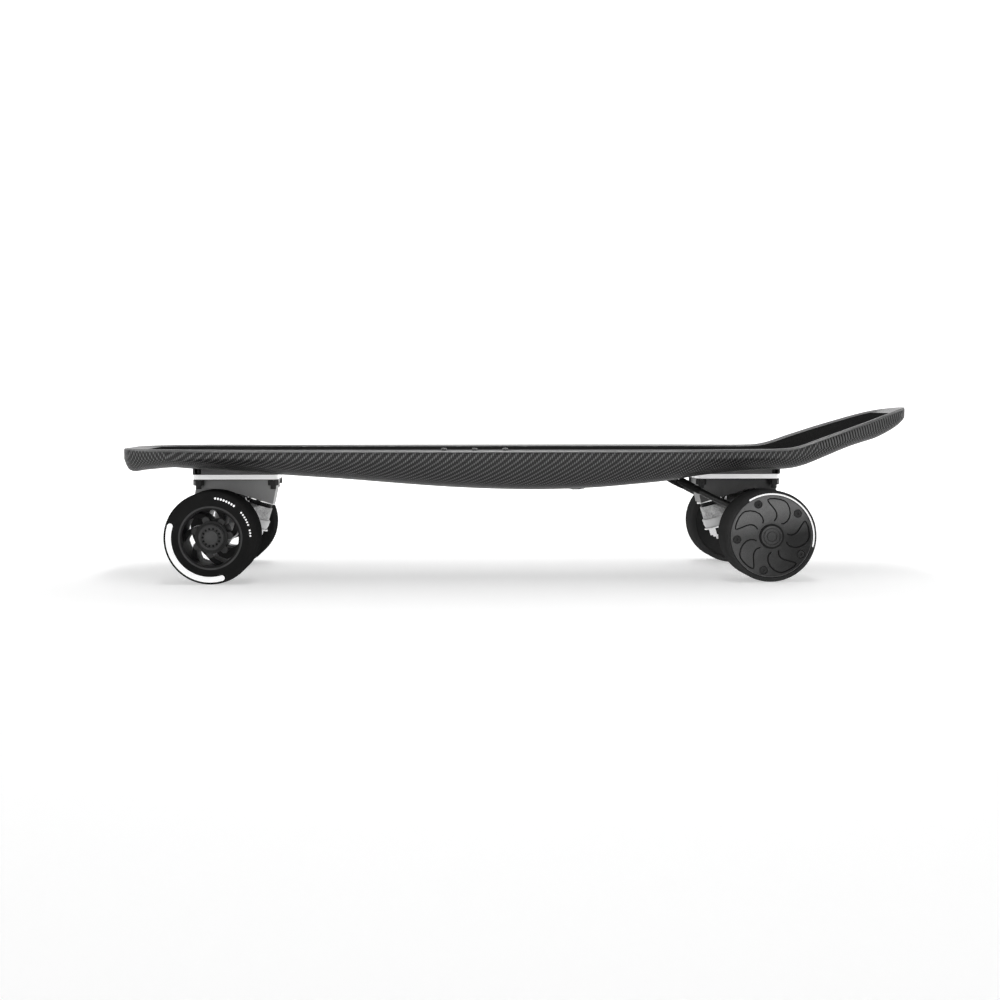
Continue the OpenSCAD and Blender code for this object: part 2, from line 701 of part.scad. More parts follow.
module front_tyre() {
    h = front_w / 2;
    r = wheel_d / 2;
    rotate_extrude() polygon(concat(
        [[core_r, -h + 2.4], [core_r, h - 2.4], [core_r + 5, h - 0.6]],
        arc([r - 2.6, h - 2.6], 2.6, 90, 0),
        arc([r - 2.6, -h + 2.6], 2.6, 0, -90),
        [[core_r + 5, -h + 0.6]]
    ));
}
spoke_z0 = -20;
spoke_z1 = 9;
lug_r = 17.2;
lug_w = 5.6;
function spoke_edge(side) = [
    for (i = [0:8])
    let (f = i / 8, r = mix(hub_r - 1, core_in_r + 1, f), a = 34 * pow(f, 1.5))
    [r * cos(a) - side * 2.3 * sin(a + 20), r * sin(a) + side * 2.3 * cos(a + 20)]
];
module front_core() {
    h = front_w / 2;
    difference() {
        union() {
            translate([0, 0, -h + 2.6]) ring(core_in_r, core_r, front_w - 5.2);
            translate([0, 0, -h + 4]) cylinder(r = hub_r, h = front_w - recess - 7);
            translate([0, 0, spoke_z0]) for (i = [0:spokes - 1]) rotate([0, 0, i * 360 / spokes])
                linear_extrude(height = spoke_z1 - spoke_z0)
                    polygon(concat(spoke_edge(1), [for (i = [8:-1:0]) spoke_edge(-1)[i]]));
            for (i = [0:spokes - 1]) rotate([0, 0, i * 360 / spokes + 6]) {
                translate([0, -lug_w / 2, 0]) cube([lug_r - 1.4, lug_w, h - recess - 5]);
                translate([lug_r - 2.8, 0, 0]) cylinder(r = lug_w / 2, h = h - recess - 5);
            }
        }
        translate([0, 0, -h + 3]) cylinder(r = bearing_r, h = bearing_t + 1);
        translate([0, 0, -h]) cylinder(r = 8.6, h = front_w);
        translate([0, 0, h - recess - 17]) cylinder(r = bearing_r, h = 30);
    }
}
module bearing(bore, r, t) {
    ring(bore, bore + 0.28 * (r - bore), t);
    ring(r - 0.28 * (r - bore), r, t);
    translate([0, 0, 0.5]) ring(bore + 0.3 * (r - bore), r - 0.3 * (r - bore), t - 1);
}
module front_bearings() {
    h = front_w / 2;
    translate([0, 0, -h + 4]) bearing(front_axle_d / 2 + fit_gap, bearing_r, bearing_t);
    translate([0, 0, h - recess - 17]) bearing(front_axle_d / 2 + fit_gap, bearing_r, bearing_t);
}
module front_cap() {
    face_z = front_w / 2 - recess;
    difference() {
        union() {
            translate([0, 0, face_z - 9.9]) ring(9.4, bearing_r - 0.05, 6.9);
            translate([0, 0, face_z - 3]) cylinder(r = bearing_r - 0.05, h = 1.2);
            translate([0, 0, face_z - 3]) ring(8.4, 10, 3);
            translate([0, 0, face_z - 3]) cylinder(r = 5.6, h = 2.8);
        }
        for (i = [0:13]) rotate([0, 0, i * 360 / 14])
            translate([7, 0, face_z - 2.4]) cylinder(r = 0.9, h = 3);
        translate([0, 0, face_z - 4]) cylinder(r = 4.2, h = 1.6);
    }
}

module front_wheel(side) { wheel_place(-front_x, front_y, side) children(); }
module front_left_tyre() { color("#131314") front_wheel(-1) front_tyre(); }
module front_left_core() { color("#2a2a2c") front_wheel(-1) front_core(); }
module front_left_bearings() { color("#c4c6c8") front_wheel(-1) front_bearings(); }
module front_left_cap() { color("#3a3b3d") front_wheel(-1) front_cap(); }
module front_right_tyre() { color("#131314") front_wheel(1) front_tyre(); }
module front_right_core() { color("#2a2a2c") front_wheel(1) front_core(); }
module front_right_bearings() { color("#c4c6c8") front_wheel(1) front_bearings(); }
module front_right_cap() { color("#3a3b3d") front_wheel(1) front_cap(); }

// ---------- rear wheels ----------

module rear_tyre() {
    h = rear_w / 2;
    r = wheel_d / 2;
    rotate_extrude() polygon(concat(
        [[can_r, -h + 1], [can_r, cover_z], [cover_r + 0.3, cover_z], [cover_r + 0.3, h - 0.8]],
        arc([r - 4.2, h - 4.4], 4.2, 78, 0),
        arc([r - 4.2, -h + 4.4], 4.2, 0, -85)
    ));
}
cover_t = 4.8;
cover_r = 33.4;
screw_r = 28.4;
cover_z = rear_w / 2 - 1.6 - cover_t;
module rear_can() {
    h = rear_w / 2;
    difference() {
        union() {
            translate([0, 0, -h + 2]) cylinder(r = can_r, h = cover_z + h - 2);
        }
        translate([0, 0, -h + 5.5]) cylinder(r = can_in_r, h = rear_w);
        translate([0, 0, -h]) cylinder(r = 10, h = rear_w);
        for (i = [0:4]) rotate([0, 0, screw_a + i * 72])
            translate([screw_r, 0, cover_z - 8]) cylinder(r = 1.3, h = 9);
    }
}
magnet_in_r = 24;
module rear_magnets() {
    translate([0, 0, stator_z]) for (i = [0:magnets - 1]) rotate([0, 0, i * 360 / magnets])
        intersection() {
            ring(magnet_in_r, can_in_r - 0.03, stator_h);
            rotate([0, 0, -150 / magnets]) cube([40, 40, stator_h]);
            rotate([0, 0, -90 + 150 / magnets]) cube([40, 40, stator_h]);
        }
}
screw_a = 113;
// Route of the groove round a fan blade on the cover, as [angle, radius]
blade = [
    [14, 12.8], [9.5, 15], [9, 17.2], [11.5, 19.6], [16, 21.9], [21.5, 24.2], [26, 26.6],
    [29, 28.8], [29.5, 30.2], [26, 30.8], [19, 31], [10, 31], [3, 30.8], [-2, 29.9],
    [-9, 27.4], [-15.5, 24.4], [-20.5, 21], [-22.8, 17.6], [-21, 14.6], [-14, 12.9]
];
function blade_at(i) = blade[i][1] * [cos(blade[i][0]), sin(blade[i][0])];
// The route moved sideways by w
function blade_side(w) = [
    for (i = [0:len(blade) - 1])
    let (d = unit(blade_at(min(i + 1, len(blade) - 1)) - blade_at(max(i - 1, 0))))
    blade_at(i) + w * [-d[1], d[0]]
];
module blade_groove() {
    far = blade_side(-0.55);
    polygon(concat(blade_side(0.55), [for (i = [len(far) - 1:-1:0]) far[i]]));
}
module rear_cover() {
    h = rear_w / 2;
    difference() {
        union() {
            translate([0, 0, cover_z]) cylinder(r = cover_r, h = cover_t);
            translate([0, 0, cover_z + cover_t]) cylinder(r = 9.8, h = 1.6);
            translate([0, 0, h - 13]) cylinder(r = 13, h = 13 - (h - cover_z));
        }
        for (i = [0:4]) rotate([0, 0, screw_a + 26 + i * 72])
            translate([0, 0, cover_z + cover_t - 1.5]) linear_extrude(height = 3) blade_groove();
        for (i = [0:4]) rotate([0, 0, screw_a + i * 72]) translate([screw_r, 0, cover_z]) {
            translate([0, 0, -1]) cylinder(r = 1.6, h = 10);
            translate([0, 0, cover_t - 1.8]) cylinder(r = 3.4, h = 3);
        }
        translate([0, 0, h - 14]) cylinder(r = 10, h = 14 - (h - cover_z) + 0.6);
        translate([0, 0, cover_z]) cylinder(r = 8.9, h = 3.4);
        for (r = [3.6, 6.4]) translate([0, 0, cover_z + cover_t + 0.8]) ring(r, r + 0.7, 3);
    }
}
module rear_screws() {
    for (i = [0:4]) rotate([0, 0, screw_a + i * 72]) translate([screw_r, 0, 0]) difference() {
        union() {
            translate([0, 0, cover_z - 6]) cylinder(r = 1.25, h = 6 + cover_t - 1.8);
            translate([0, 0, cover_z + cover_t - 1.75]) cylinder(r = 2.9, h = 1.6);
        }
        translate([0, 0, cover_z + cover_t - 1.2]) cylinder(r = 1.4, h = 3, $fn = 6);
    }
}
module rear_bearings() {
    h = rear_w / 2;
    translate([0, 0, -h + 2]) bearing(rear_axle_d / 2 + fit_gap, 9.97, 4.8);
    translate([0, 0, h - 12.9]) bearing(rear_axle_d / 2 + fit_gap, 9.97, 4.8);
}

module rear_wheel(side) { wheel_place(rear_x, rear_y, side) children(); }
module rear_left_tyre() { color("#121213") rear_wheel(-1) rear_tyre(); }
module rear_left_can() { color("#2d2e30") rear_wheel(-1) rear_can(); }
module rear_left_magnets() { color("#a9abad") rear_wheel(-1) rear_magnets(); }
module rear_left_cover() { color("#303133") rear_wheel(-1) rear_cover(); }
module rear_left_screws() { color("#1d1d1f") rear_wheel(-1) rear_screws(); }
module rear_left_bearings() { color("#c4c6c8") rear_wheel(-1) rear_bearings(); }
module rear_right_tyre() { color("#121213") rear_wheel(1) rear_tyre(); }
module rear_right_can() { color("#2d2e30") rear_wheel(1) rear_can(); }
module rear_right_magnets() { color("#a9abad") rear_wheel(1) rear_magnets(); }
module rear_right_cover() { color("#303133") rear_wheel(1) rear_cover(); }
module rear_right_screws() { color("#1d1d1f") rear_wheel(1) rear_screws(); }
module rear_right_bearings() { color("#c4c6c8") rear_wheel(1) rear_bearings(); }

deck_shell();
deck_lid();
lid_gasket();
lid_screws();
grip_front();
grip_lid();
grip_rear();
gauge_lenses();
battery_cells();
bms_board();
motor_controller();
port_panel();
charge_socket();
charge_cap();
power_button();
riser_pads();
front_baseplate();
rear_baseplate();
truck_bolts();
truck_nuts();
kingpins();
kingpin_nuts();
cup_washers();
pivot_cups();
cable_glands();
front_hanger();
front_axle();
front_axle_nuts();
front_upper_bushing();
front_lower_bushing();
rear_hanger();
rear_axle();
rear_axle_nuts();
rear_upper_bushing();
rear_lower_bushing();
motor_collars();
motor_stators();
motor_windings();
motor_cable_left();
motor_cable_right();
front_left_tyre();
front_left_core();
front_left_bearings();
front_left_cap();
front_right_tyre();
front_right_core();
front_right_bearings();
front_right_cap();
rear_left_tyre();
rear_left_can();
rear_left_magnets();
rear_left_cover();
rear_left_screws();
rear_left_bearings();
rear_right_tyre();
rear_right_can();
rear_right_magnets();
rear_right_cover();
rear_right_screws();
rear_right_bearings();
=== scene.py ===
"""Looks of the electric skateboard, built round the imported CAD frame.

Everything is in metres, in the frame of the CAD: X from nose to kicktail, Z up, floor at z = 0.
"""
import json
import math

import bmesh
import bpy
from mathutils import Matrix, Vector


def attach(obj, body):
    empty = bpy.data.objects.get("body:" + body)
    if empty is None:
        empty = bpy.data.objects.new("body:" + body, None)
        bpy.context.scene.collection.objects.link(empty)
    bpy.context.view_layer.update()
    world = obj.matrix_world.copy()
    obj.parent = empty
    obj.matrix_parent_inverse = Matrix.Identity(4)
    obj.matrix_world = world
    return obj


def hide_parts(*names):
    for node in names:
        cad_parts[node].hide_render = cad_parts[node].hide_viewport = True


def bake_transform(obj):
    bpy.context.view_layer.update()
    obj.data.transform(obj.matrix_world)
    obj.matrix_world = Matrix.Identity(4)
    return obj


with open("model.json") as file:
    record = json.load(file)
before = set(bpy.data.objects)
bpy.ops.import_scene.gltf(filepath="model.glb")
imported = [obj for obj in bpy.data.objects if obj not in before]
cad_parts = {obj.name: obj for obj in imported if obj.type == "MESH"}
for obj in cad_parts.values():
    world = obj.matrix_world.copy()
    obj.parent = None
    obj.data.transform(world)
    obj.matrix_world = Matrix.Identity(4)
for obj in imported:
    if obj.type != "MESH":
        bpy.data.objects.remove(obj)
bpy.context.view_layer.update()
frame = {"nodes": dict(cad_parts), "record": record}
nodes = frame["nodes"]
MM = 0.001

# Places that looks and shapes share, in millimetres
FRONT_X, REAR_X, AXLE_Z = -254.6, 201.0, 37.5
GAUGE_XS, GAUGE_Y = (-66, -41, -16), -100.5


# ---------------------------------------------------------------- camera, light, floor

scene = bpy.context.scene
camera_data = bpy.data.cameras.new("camera")
camera_data.lens = 66.06
camera_data.sensor_width = 36.0
camera_data.clip_end = 50.0
camera = bpy.data.objects.new("camera", camera_data)
camera.location = (-0.08775, -1.597, 0.14766)
camera.rotation_euler = (math.radians(90 - 3.08), 0.0, math.radians(-2.58))
scene.collection.objects.link(camera)
scene.camera = camera
scene.view_settings.view_transform = "Standard"
scene.view_settings.look = "None"


def area_light(name, place, target, size, power):
    """Soft light at a place, turned to a target; size is (width, height) in metres."""
    data = bpy.data.lights.new(name, "AREA")
    data.shape = "RECTANGLE"
    data.size, data.size_y = size
    data.energy = power
    light = bpy.data.objects.new(name, data)
    light.location = place
    light.rotation_euler = (Vector(target) - Vector(place)).to_track_quat("-Z", "Y").to_euler()
    scene.collection.objects.link(light)


area_light("light_top", (0.05, -0.05, 1.9), (0, -0.05, 0.1), (2.4, 0.34), 15)
area_light("light_front", (-0.5, -2.2, 1.5), (0, 0, 0.06), (1.8, 0.9), 2)
area_light("light_back", (0.4, 2.0, 1.2), (0, 0, 0.08), (2.4, 0.7), 10)


def shade_world():
    """Dark room, darker still on the side of the viewer; the pale stage does the lighting."""
    world = bpy.data.worlds.new("world")
    scene.world = world
    world.use_nodes = True
    tree = world.node_tree
    where = tree.nodes.new("ShaderNodeTexCoord").outputs["Generated"]
    parts = tree.nodes.new("ShaderNodeSeparateXYZ")
    tree.links.new(where, parts.inputs[0])
    fade = tree.nodes.new("ShaderNodeMapRange")
    fade.interpolation_type = "SMOOTHSTEP"
    tree.links.new(parts.outputs["Y"], fade.inputs["Value"])
    fade.inputs["From Min"].default_value = -0.75
    fade.inputs["From Max"].default_value = -0.05
    fade.inputs["To Min"].default_value = 0.5
    fade.inputs["To Max"].default_value = 1.0
    tree.links.new(fade.outputs["Result"], tree.nodes["Background"].inputs["Strength"])


shade_world()


# ---------------------------------------------------------------- material kit

class Look:
    """A Principled material and short calls that add nodes to it."""

    def __init__(self, name, **constants):
        self.material = bpy.data.materials.new(name)
        self.material.use_nodes = True
        self.tree = self.material.node_tree
        self.shader = self.tree.nodes["Principled BSDF"]
        for key, value in constants.items():
            self.shader.inputs[key.replace("_", " ")].default_value = value

    def link(self, value, socket):
        if isinstance(value, bpy.types.NodeSocket):
            self.tree.links.new(value, socket)
        else:
            socket.default_value = value

    def math(self, operation, a, b=0.0, c=0.0):
        node = self.tree.nodes.new("ShaderNodeMath")
        node.operation = operation
        for socket, value in zip(node.inputs, (a, b, c)):
            self.link(value, socket)
        return node.outputs[0]

    def add(self, a, b):
        return self.math("ADD", a, b)

    def less(self, a, b):
        return self.math("SUBTRACT", a, b)

    def times(self, first, *others):
        for other in others:
            first = self.math("MULTIPLY", first, other)
        return first

    def above(self, value, limit):
        return self.math("GREATER_THAN", value, limit)

    def below(self, value, limit):
        return self.math("LESS_THAN", value, limit)

    def between(self, value, low, high):
        """1 where the value lies between two limits, else 0."""
        return self.times(self.above(value, low), self.below(value, high))

    def length(self, a, b):
        return self.math("SQRT", self.add(self.times(a, a), self.times(b, b)))

    def coordinates(self, kind="Object"):
        """Object: place in metres. UV: metres along the surface. Normal: direction of the surface."""
        return self.tree.nodes.new("ShaderNodeTexCoord").outputs[kind]

    def split(self, vector):
        node = self.tree.nodes.new("ShaderNodeSeparateXYZ")
        self.link(vector, node.inputs[0])
        return node.outputs

    def stretch(self, vector, scale):
        node = self.tree.nodes.new("ShaderNodeVectorMath")
        node.operation = "MULTIPLY"
        self.link(vector, node.inputs[0])
        node.inputs[1].default_value = scale
        return node.outputs[0]

    def noise(self, vector, scale, detail=3.0, roughness=0.55):
        node = self.tree.nodes.new("ShaderNodeTexNoise")
        self.link(vector, node.inputs["Vector"])
        node.inputs["Scale"].default_value = scale
        node.inputs["Detail"].default_value = detail
        node.inputs["Roughness"].default_value = roughness
        return node.outputs["Fac"]

    def cells(self, vector, scale, feature="F1"):
        node = self.tree.nodes.new("ShaderNodeTexVoronoi")
        node.feature = feature
        self.link(vector, node.inputs["Vector"])
        node.inputs["Scale"].default_value = scale
        return node.outputs["Distance"]

    def span(self, value, low, high, to_low=0.0, to_high=1.0):
        node = self.tree.nodes.new("ShaderNodeMapRange")
        self.link(value, node.inputs["Value"])
        node.inputs["From Min"].default_value = low
        node.inputs["From Max"].default_value = high
        node.inputs["To Min"].default_value = to_low
        node.inputs["To Max"].default_value = to_high
        return node.outputs["Result"]

    def blend(self, share, a, b):
        node = self.tree.nodes.new("ShaderNodeMix")
        node.data_type = "RGBA"
        self.link(share, node.inputs["Factor"])
        colour_a, colour_b = [s for s in node.inputs if s.type == "RGBA"]
        self.link(a, colour_a)
        self.link(b, colour_b)
        return [s for s in node.outputs if s.type == "RGBA"][0]

    def bump(self, height, depth, strength):
        """Depth is the real height of the relief, in metres."""
        node = self.tree.nodes.new("ShaderNodeBump")
        node.inputs["Strength"].default_value = strength
        node.inputs["Distance"].default_value = depth
        self.link(height, node.inputs["Height"])
        return node.outputs["Normal"]

    def use(self, colour, roughness, normal=None):
        self.link(colour, self.shader.inputs["Base Color"])
        self.link(roughness, self.shader.inputs["Roughness"])
        if normal is not None:
            self.link(normal, self.shader.inputs["Normal"])
        return self.material


def grey(value, warm=0.0):
    return (value * (1 + warm), value, value * (1 - warm), 1.0)


def carbon(name, mapped):
    """2 x 2 twill under thin lacquer; mapped says that the piece has a UV map in metres."""
    tow = 0.00155
    nose_panel = 0.046
    look = Look(name, Metallic=0.6, Specular_IOR_Level=0.06, Specular_Tint=grey(0.10),
                Coat_Weight=0.06, Coat_Roughness=0.05)
    here = look.coordinates()
    grid = look.stretch(look.coordinates("UV") if mapped else here, (1 / tow, 1 / tow, 0.0))
    u, v, _ = look.split(grid)
    if mapped:
        # The diagonal runs the other way on the nose
        corner = look.below(u, nose_panel / tow)
        v = look.times(v, look.span(corner, 0.0, 1.0, 1.0, -1.0))
    over = look.math("FLOORED_MODULO", look.add(look.math("FLOOR", u), v), 4.0)
    under = look.math("FLOORED_MODULO", look.add(u, look.math("FLOOR", v)), 4.0)
    warp_on_top = look.below(over, 2.0)
    warp_hump = look.math("SINE", look.times(over, math.pi / 2))
    weft_hump = look.math("SINE", look.times(look.less(under, 2.0), math.pi / 2))

    def height(value, hump):
        """Round tow that rises and dips along its length."""
        side = look.less(look.math("FRACT", value), 0.5)
        cross = look.less(1.0, look.times(look.times(side, side), 3.2))
        return look.times(cross, look.add(0.55, look.times(hump, 0.45)))

    def either(if_warp, if_weft):
        return look.add(look.times(if_warp, warp_on_top), look.times(if_weft, look.less(1.0, warp_on_top)))

    relief = either(height(u, warp_hump), height(v, weft_hump))
    strands = either(look.noise(look.stretch(grid, (9.0, 0.9, 1.0)), 1.0, 2.0),
                     look.noise(look.stretch(grid, (0.9, 9.0, 1.0)), 1.0, 2.0))
    # Painted sheen: tow crowns are painted brighter, and warp tows on top are painted brighter than weft, a
    # painted reflection of the weave
    painted_tow_sheen = look.times(look.math("POWER", relief, 1.6), look.span(strands, 0.3, 0.7, 0.6, 1.0))
    tone = look.times(painted_tow_sheen, look.span(warp_on_top, 0.0, 1.0, 0.25, 1.0))
    if mapped:
        _, side, up = look.split(look.coordinates("Normal"))
        tone = kick_bars(look, tone, here, side, up)
        # Faces that look up are made less metallic and painted darker, a painted shade that keeps the top
        # border from mirroring the backdrop
        look.link(look.span(up, 0.82, 0.93, 0.6, 0.0), look.shader.inputs["Metallic"])
        tone = look.times(tone, look.span(up, 0.84, 0.92, 1.0, 0.3))
        # Painted highlight on the rounded rail edge, where the surface turns from side to top
        edge = look.times(look.span(up, 0.25, 0.5), look.span(up, 0.92, 0.75))
    colour = look.blend(tone, grey(0.018), grey(0.26))
    if mapped:
        colour = look.blend(look.times(edge, 0.85), colour, grey(0.34))
    fine = look.add(relief, look.times(strands, 0.12))
    patches = look.noise(here, 9.0, 2.0)
    return look.use(colour, look.span(patches, 0.35, 0.65, 0.30, 0.38), look.bump(fine, 0.00016, 0.8))


def kick_bars(look, tone, here, side, up):
    """Upright bars in the tone of the kicktail's sides, in a band under its rail."""
    kick_x, band_depth, bar_pitch = 0.247, 0.0092, 0.0026
    x, _, z = look.split(here)
    rail = look.span(x, 0.25, 0.32, 0.1168, 0.1392)
    band = look.times(look.above(x, kick_x), look.above(look.less(z, rail), -band_depth))
    band = look.times(band, look.below(up, 0.35))
    band = look.times(band, look.above(look.math("ABSOLUTE", side), 0.5))
    slant = look.add(look.math("DIVIDE", x, bar_pitch), look.times(z, 120.0))
    bars = look.span(look.math("PINGPONG", slant, 0.5), 0.16, 0.3, 0.0, 0.46)
    return look.add(look.times(tone, look.less(1.0, band)), look.times(bars, band))


def fan_cover(name):
    """Black anodised cover with painted light: painted shade toward the tail, a painted highlight at the top
    and on the rim, and painted shade in its grooves and round the boss.
    """
    rim, boss = 0.0330, (0.0086, 0.0102)
    groove_floor, just_below_face = 0.1125, 0.1141
    look = Look(name, Specular_IOR_Level=0.18)
    here = look.coordinates()
    x, y, z = look.split(here)
    off_x = look.less(x, REAR_X * MM)
    off_z = look.less(z, AXLE_Z * MM)
    # Painted light: paler toward the top, darker toward the tail, with faint random clouds
    painted_light_slope = look.add(look.times(off_x, -1.55), look.times(off_z, 2.75))
    painted_light_slope = look.add(painted_light_slope, look.times(look.math("ABSOLUTE", off_z), 2.6))
    painted_light_and_clouds = look.add(painted_light_slope, look.times(look.less(look.noise(here, 45.0, 3.0), 0.5), 0.05))
    grain = look.noise(here, 2600.0, 3.0, 0.6)
    mottle = look.span(grain, 0.35, 0.65)
    colour = look.blend(look.span(painted_light_and_clouds, -0.034, 0.116), look.blend(mottle, grey(0.014), grey(0.028)),
                        look.blend(mottle, grey(0.14), grey(0.20)))
    reach = look.length(off_x, off_z)
    # Painted highlight on the rim ring at the cover's edge
    colour = look.blend(look.above(reach, rim), colour, grey(0.16))
    # Painted shade: the grooves are painted nearly black
    sunk = look.between(look.math("ABSOLUTE", y), groove_floor, just_below_face)
    colour = look.blend(look.times(sunk, look.below(reach, rim - 0.0005)), colour, grey(0.003))
    # Painted shade in the ring round the boss
    colour = look.blend(look.between(reach, *boss), colour, grey(0.004))
    return look.use(colour, look.span(grain, 0.3, 0.7, 0.34, 0.46), look.bump(grain, 0.00002, 0.7))


def moulded(name, tone, rough, grain=0.00045, depth=0.00003, shine=0.1, metallic=0.0):
    """Moulded plastic or rubber: fine grain, faint cloudiness in tone and gloss."""
    look = Look(name, Specular_IOR_Level=shine, Metallic=metallic)
    here = look.coordinates()
    clouds = look.noise(here, 60.0, 3.0)
    speckle = look.cells(here, 1 / grain)
    fine = look.noise(here, 2.4 / grain, 2.0)
    height = look.add(look.times(speckle, 0.6), look.times(fine, 0.4))
    colour = look.blend(look.span(clouds, 0.3, 0.7), grey(tone * 0.82), grey(tone * 1.18))
    gloss = look.span(look.noise(here, 240.0, 2.0), 0.3, 0.7, rough - 0.05, rough + 0.06)
    return look.use(colour, gloss, look.bump(height, depth, 0.8))


def wheel_core(name):
    """Moulded nylon, with painted highlights on the beads, lug ends, hub cap and its ring, and painted shade
    in the pits round the cap and outside the lugs.
    """
    bead, cap_ring, lugs = (0.0243, 0.0258), (0.0084, 0.0106), (0.0110, 0.0176)
    bead_y, pit_y, lug_y = 0.1128, 0.1061, 0.1030
    look = Look(name, Specular_IOR_Level=0.12)
    here = look.coordinates()
    x, y, z = look.split(here)
    reach = look.length(look.less(x, FRONT_X * MM), look.less(z, AXLE_Z * MM))
    out = look.math("ABSOLUTE", y)
    on_cap = look.below(reach, cap_ring[0])
    # Painted shade outside the lugs; the core is paler within them
    colour = look.blend(look.below(reach, lugs[1]), grey(0.010), grey(0.034))
    # Painted shade in the pits round the cap
    colour = look.blend(look.times(on_cap, look.below(out, pit_y)), colour, grey(0.003))
    # Painted highlight on the face of the cap
    colour = look.blend(look.times(on_cap, look.above(out, pit_y)), colour, grey(0.075))
    # Painted highlight on the lug ends
    lug_end_highlight = look.times(look.between(reach, *lugs), look.math("COMPARE", out, lug_y, 0.0004))
    colour = look.blend(lug_end_highlight, colour, grey(0.075))
    # Painted highlights on the beads and the cap ring
    pale = look.math("MAXIMUM", look.times(look.between(reach, *bead), look.above(out, bead_y)),
                     look.between(reach, *cap_ring))
    colour = look.blend(pale, colour, grey(0.062))
    grain = look.noise(here, 1500.0, 3.0, 0.6)
    clouds = look.span(look.noise(here, 70.0, 3.0), 0.3, 0.7, 0.8, 1.2)
    shade = look.tree.nodes.new("ShaderNodeVectorMath")
    shade.operation = "SCALE"
    look.link(colour, shade.inputs[0])
    look.link(clouds, shade.inputs["Scale"])
    return look.use(shade.outputs[0], look.span(grain, 0.3, 0.7, 0.38, 0.5), look.bump(grain, 0.00004, 0.7))


def machined(name, tone, rough, along, warm=0.0):
    """Bare metal with fine tool lines along one direction and a few soft smudges."""
    look = Look(name, Metallic=1.0)
    here = look.coordinates()
    line = 0.00035
    scale = tuple(1.0 / (line * 60) if a else 1.0 / line for a in along)
    lines = look.noise(look.stretch(here, scale), 1.0, 3.0, 0.6)
    smudge = look.noise(here, 85.0, 3.0)
    colour = look.blend(look.span(lines, 0.3, 0.7), grey(tone * 0.86, warm), grey(tone * 1.06, warm))
    gloss = look.add(look.span(smudge, 0.35, 0.7, rough - 0.05, rough + 0.08),
                     look.span(lines, 0.3, 0.7, -0.03, 0.03))
    return look.use(colour, gloss, look.bump(lines, 0.00002, 0.7))


def cast(name, tone, rough):
    """Tumbled cast aluminium: pebbled skin with brighter rubbed high spots."""
    look = Look(name, Metallic=1.0)
    here = look.coordinates()
    pebbles = look.noise(here, 900.0, 4.0, 0.65)
    coarse = look.noise(here, 260.0, 3.0)
    height = look.add(look.times(pebbles, 0.6), look.times(coarse, 0.4))
    colour = look.blend(look.span(height, 0.4, 0.62), grey(tone * 0.6), grey(tone * 1.15))
    return look.use(colour, look.span(pebbles, 0.35, 0.65, rough + 0.08, rough - 0.07),
                    look.bump(height, 0.00022, 0.9))


def grit(name, tone):
    """Grip sheet: mineral grit in black binder, with painted glints on rare grains."""
    look = Look(name, Specular_IOR_Level=0.0)
    here = look.coordinates()
    grains = look.cells(here, 1500.0)
    bed = look.noise(here, 420.0, 4.0, 0.7)
    height = look.less(bed, look.times(grains, 0.9))
    # Painted glints on a few grains
    painted_glint = look.above(look.noise(here, 2600.0, 1.0), 0.74)
    worn = look.span(look.noise(here, 14.0, 3.0), 0.4, 0.7, 0.8, 1.5)
    base = look.blend(look.span(height, 0.0, 0.6), grey(tone * 0.4), grey(tone * 1.5))
    colour = look.blend(look.times(painted_glint, 0.4), base, grey(0.09))
    return look.use(colour, look.times(0.62, worn), look.bump(height, 0.00035, 1.0))


def two_tone_plate(name, edge_low, edge_high):
    """Truck baseplate: dark blasted body under a flange cut bright; painted light makes the body paler
    toward the kingpin and on the front truck, and the flange glows a little.
    """
    look = Look(name, Emission_Strength=0.34)
    here = look.coordinates()
    x, _, z = look.split(here)
    on_edge = look.between(z, edge_low, edge_high)
    off_edge = look.less(1.0, on_edge)
    # The bright flange glows a little: painted light
    look.link(look.blend(on_edge, grey(0.0), grey(1.0)), look.shader.inputs["Emission Color"])
    look.link(off_edge, look.shader.inputs["Metallic"])
    lines = look.noise(look.stretch(here, (60.0, 60.0, 4200.0)), 1.0, 3.0, 0.6)
    blast = look.noise(here, 1400.0, 4.0, 0.65)
    streaks = look.noise(look.stretch(here, (160.0, 160.0, 60.0)), 1.0, 3.0)
    # Painted light: the body is painted paler toward the kingpin, and the front truck's body is a paler lit
    # copy of the rear's
    on_front = look.below(x, 0.0)
    inward = look.add(look.times(look.span(x, -0.27, -0.205), on_front),
                      look.times(look.span(x, 0.215, 0.155), look.above(x, 0.0)))
    shade = look.add(look.times(inward, 0.75), look.times(streaks, 0.3))
    body = look.blend(on_front, look.blend(shade, grey(0.055), grey(0.13)),
                      look.blend(shade, grey(0.22), grey(0.31)))
    bright = look.blend(look.span(lines, 0.3, 0.7), grey(0.84), grey(0.97))
    gloss = look.add(look.times(on_edge, look.span(lines, 0.3, 0.7, 0.24, 0.34)),
                     look.times(off_edge, look.span(blast, 0.3, 0.7, 0.36, 0.5)))
    relief = look.add(look.times(on_edge, lines, 0.25), look.times(off_edge, blast))
    return look.use(look.blend(on_edge, body, bright), gloss, look.bump(relief, 0.00008, 0.8))


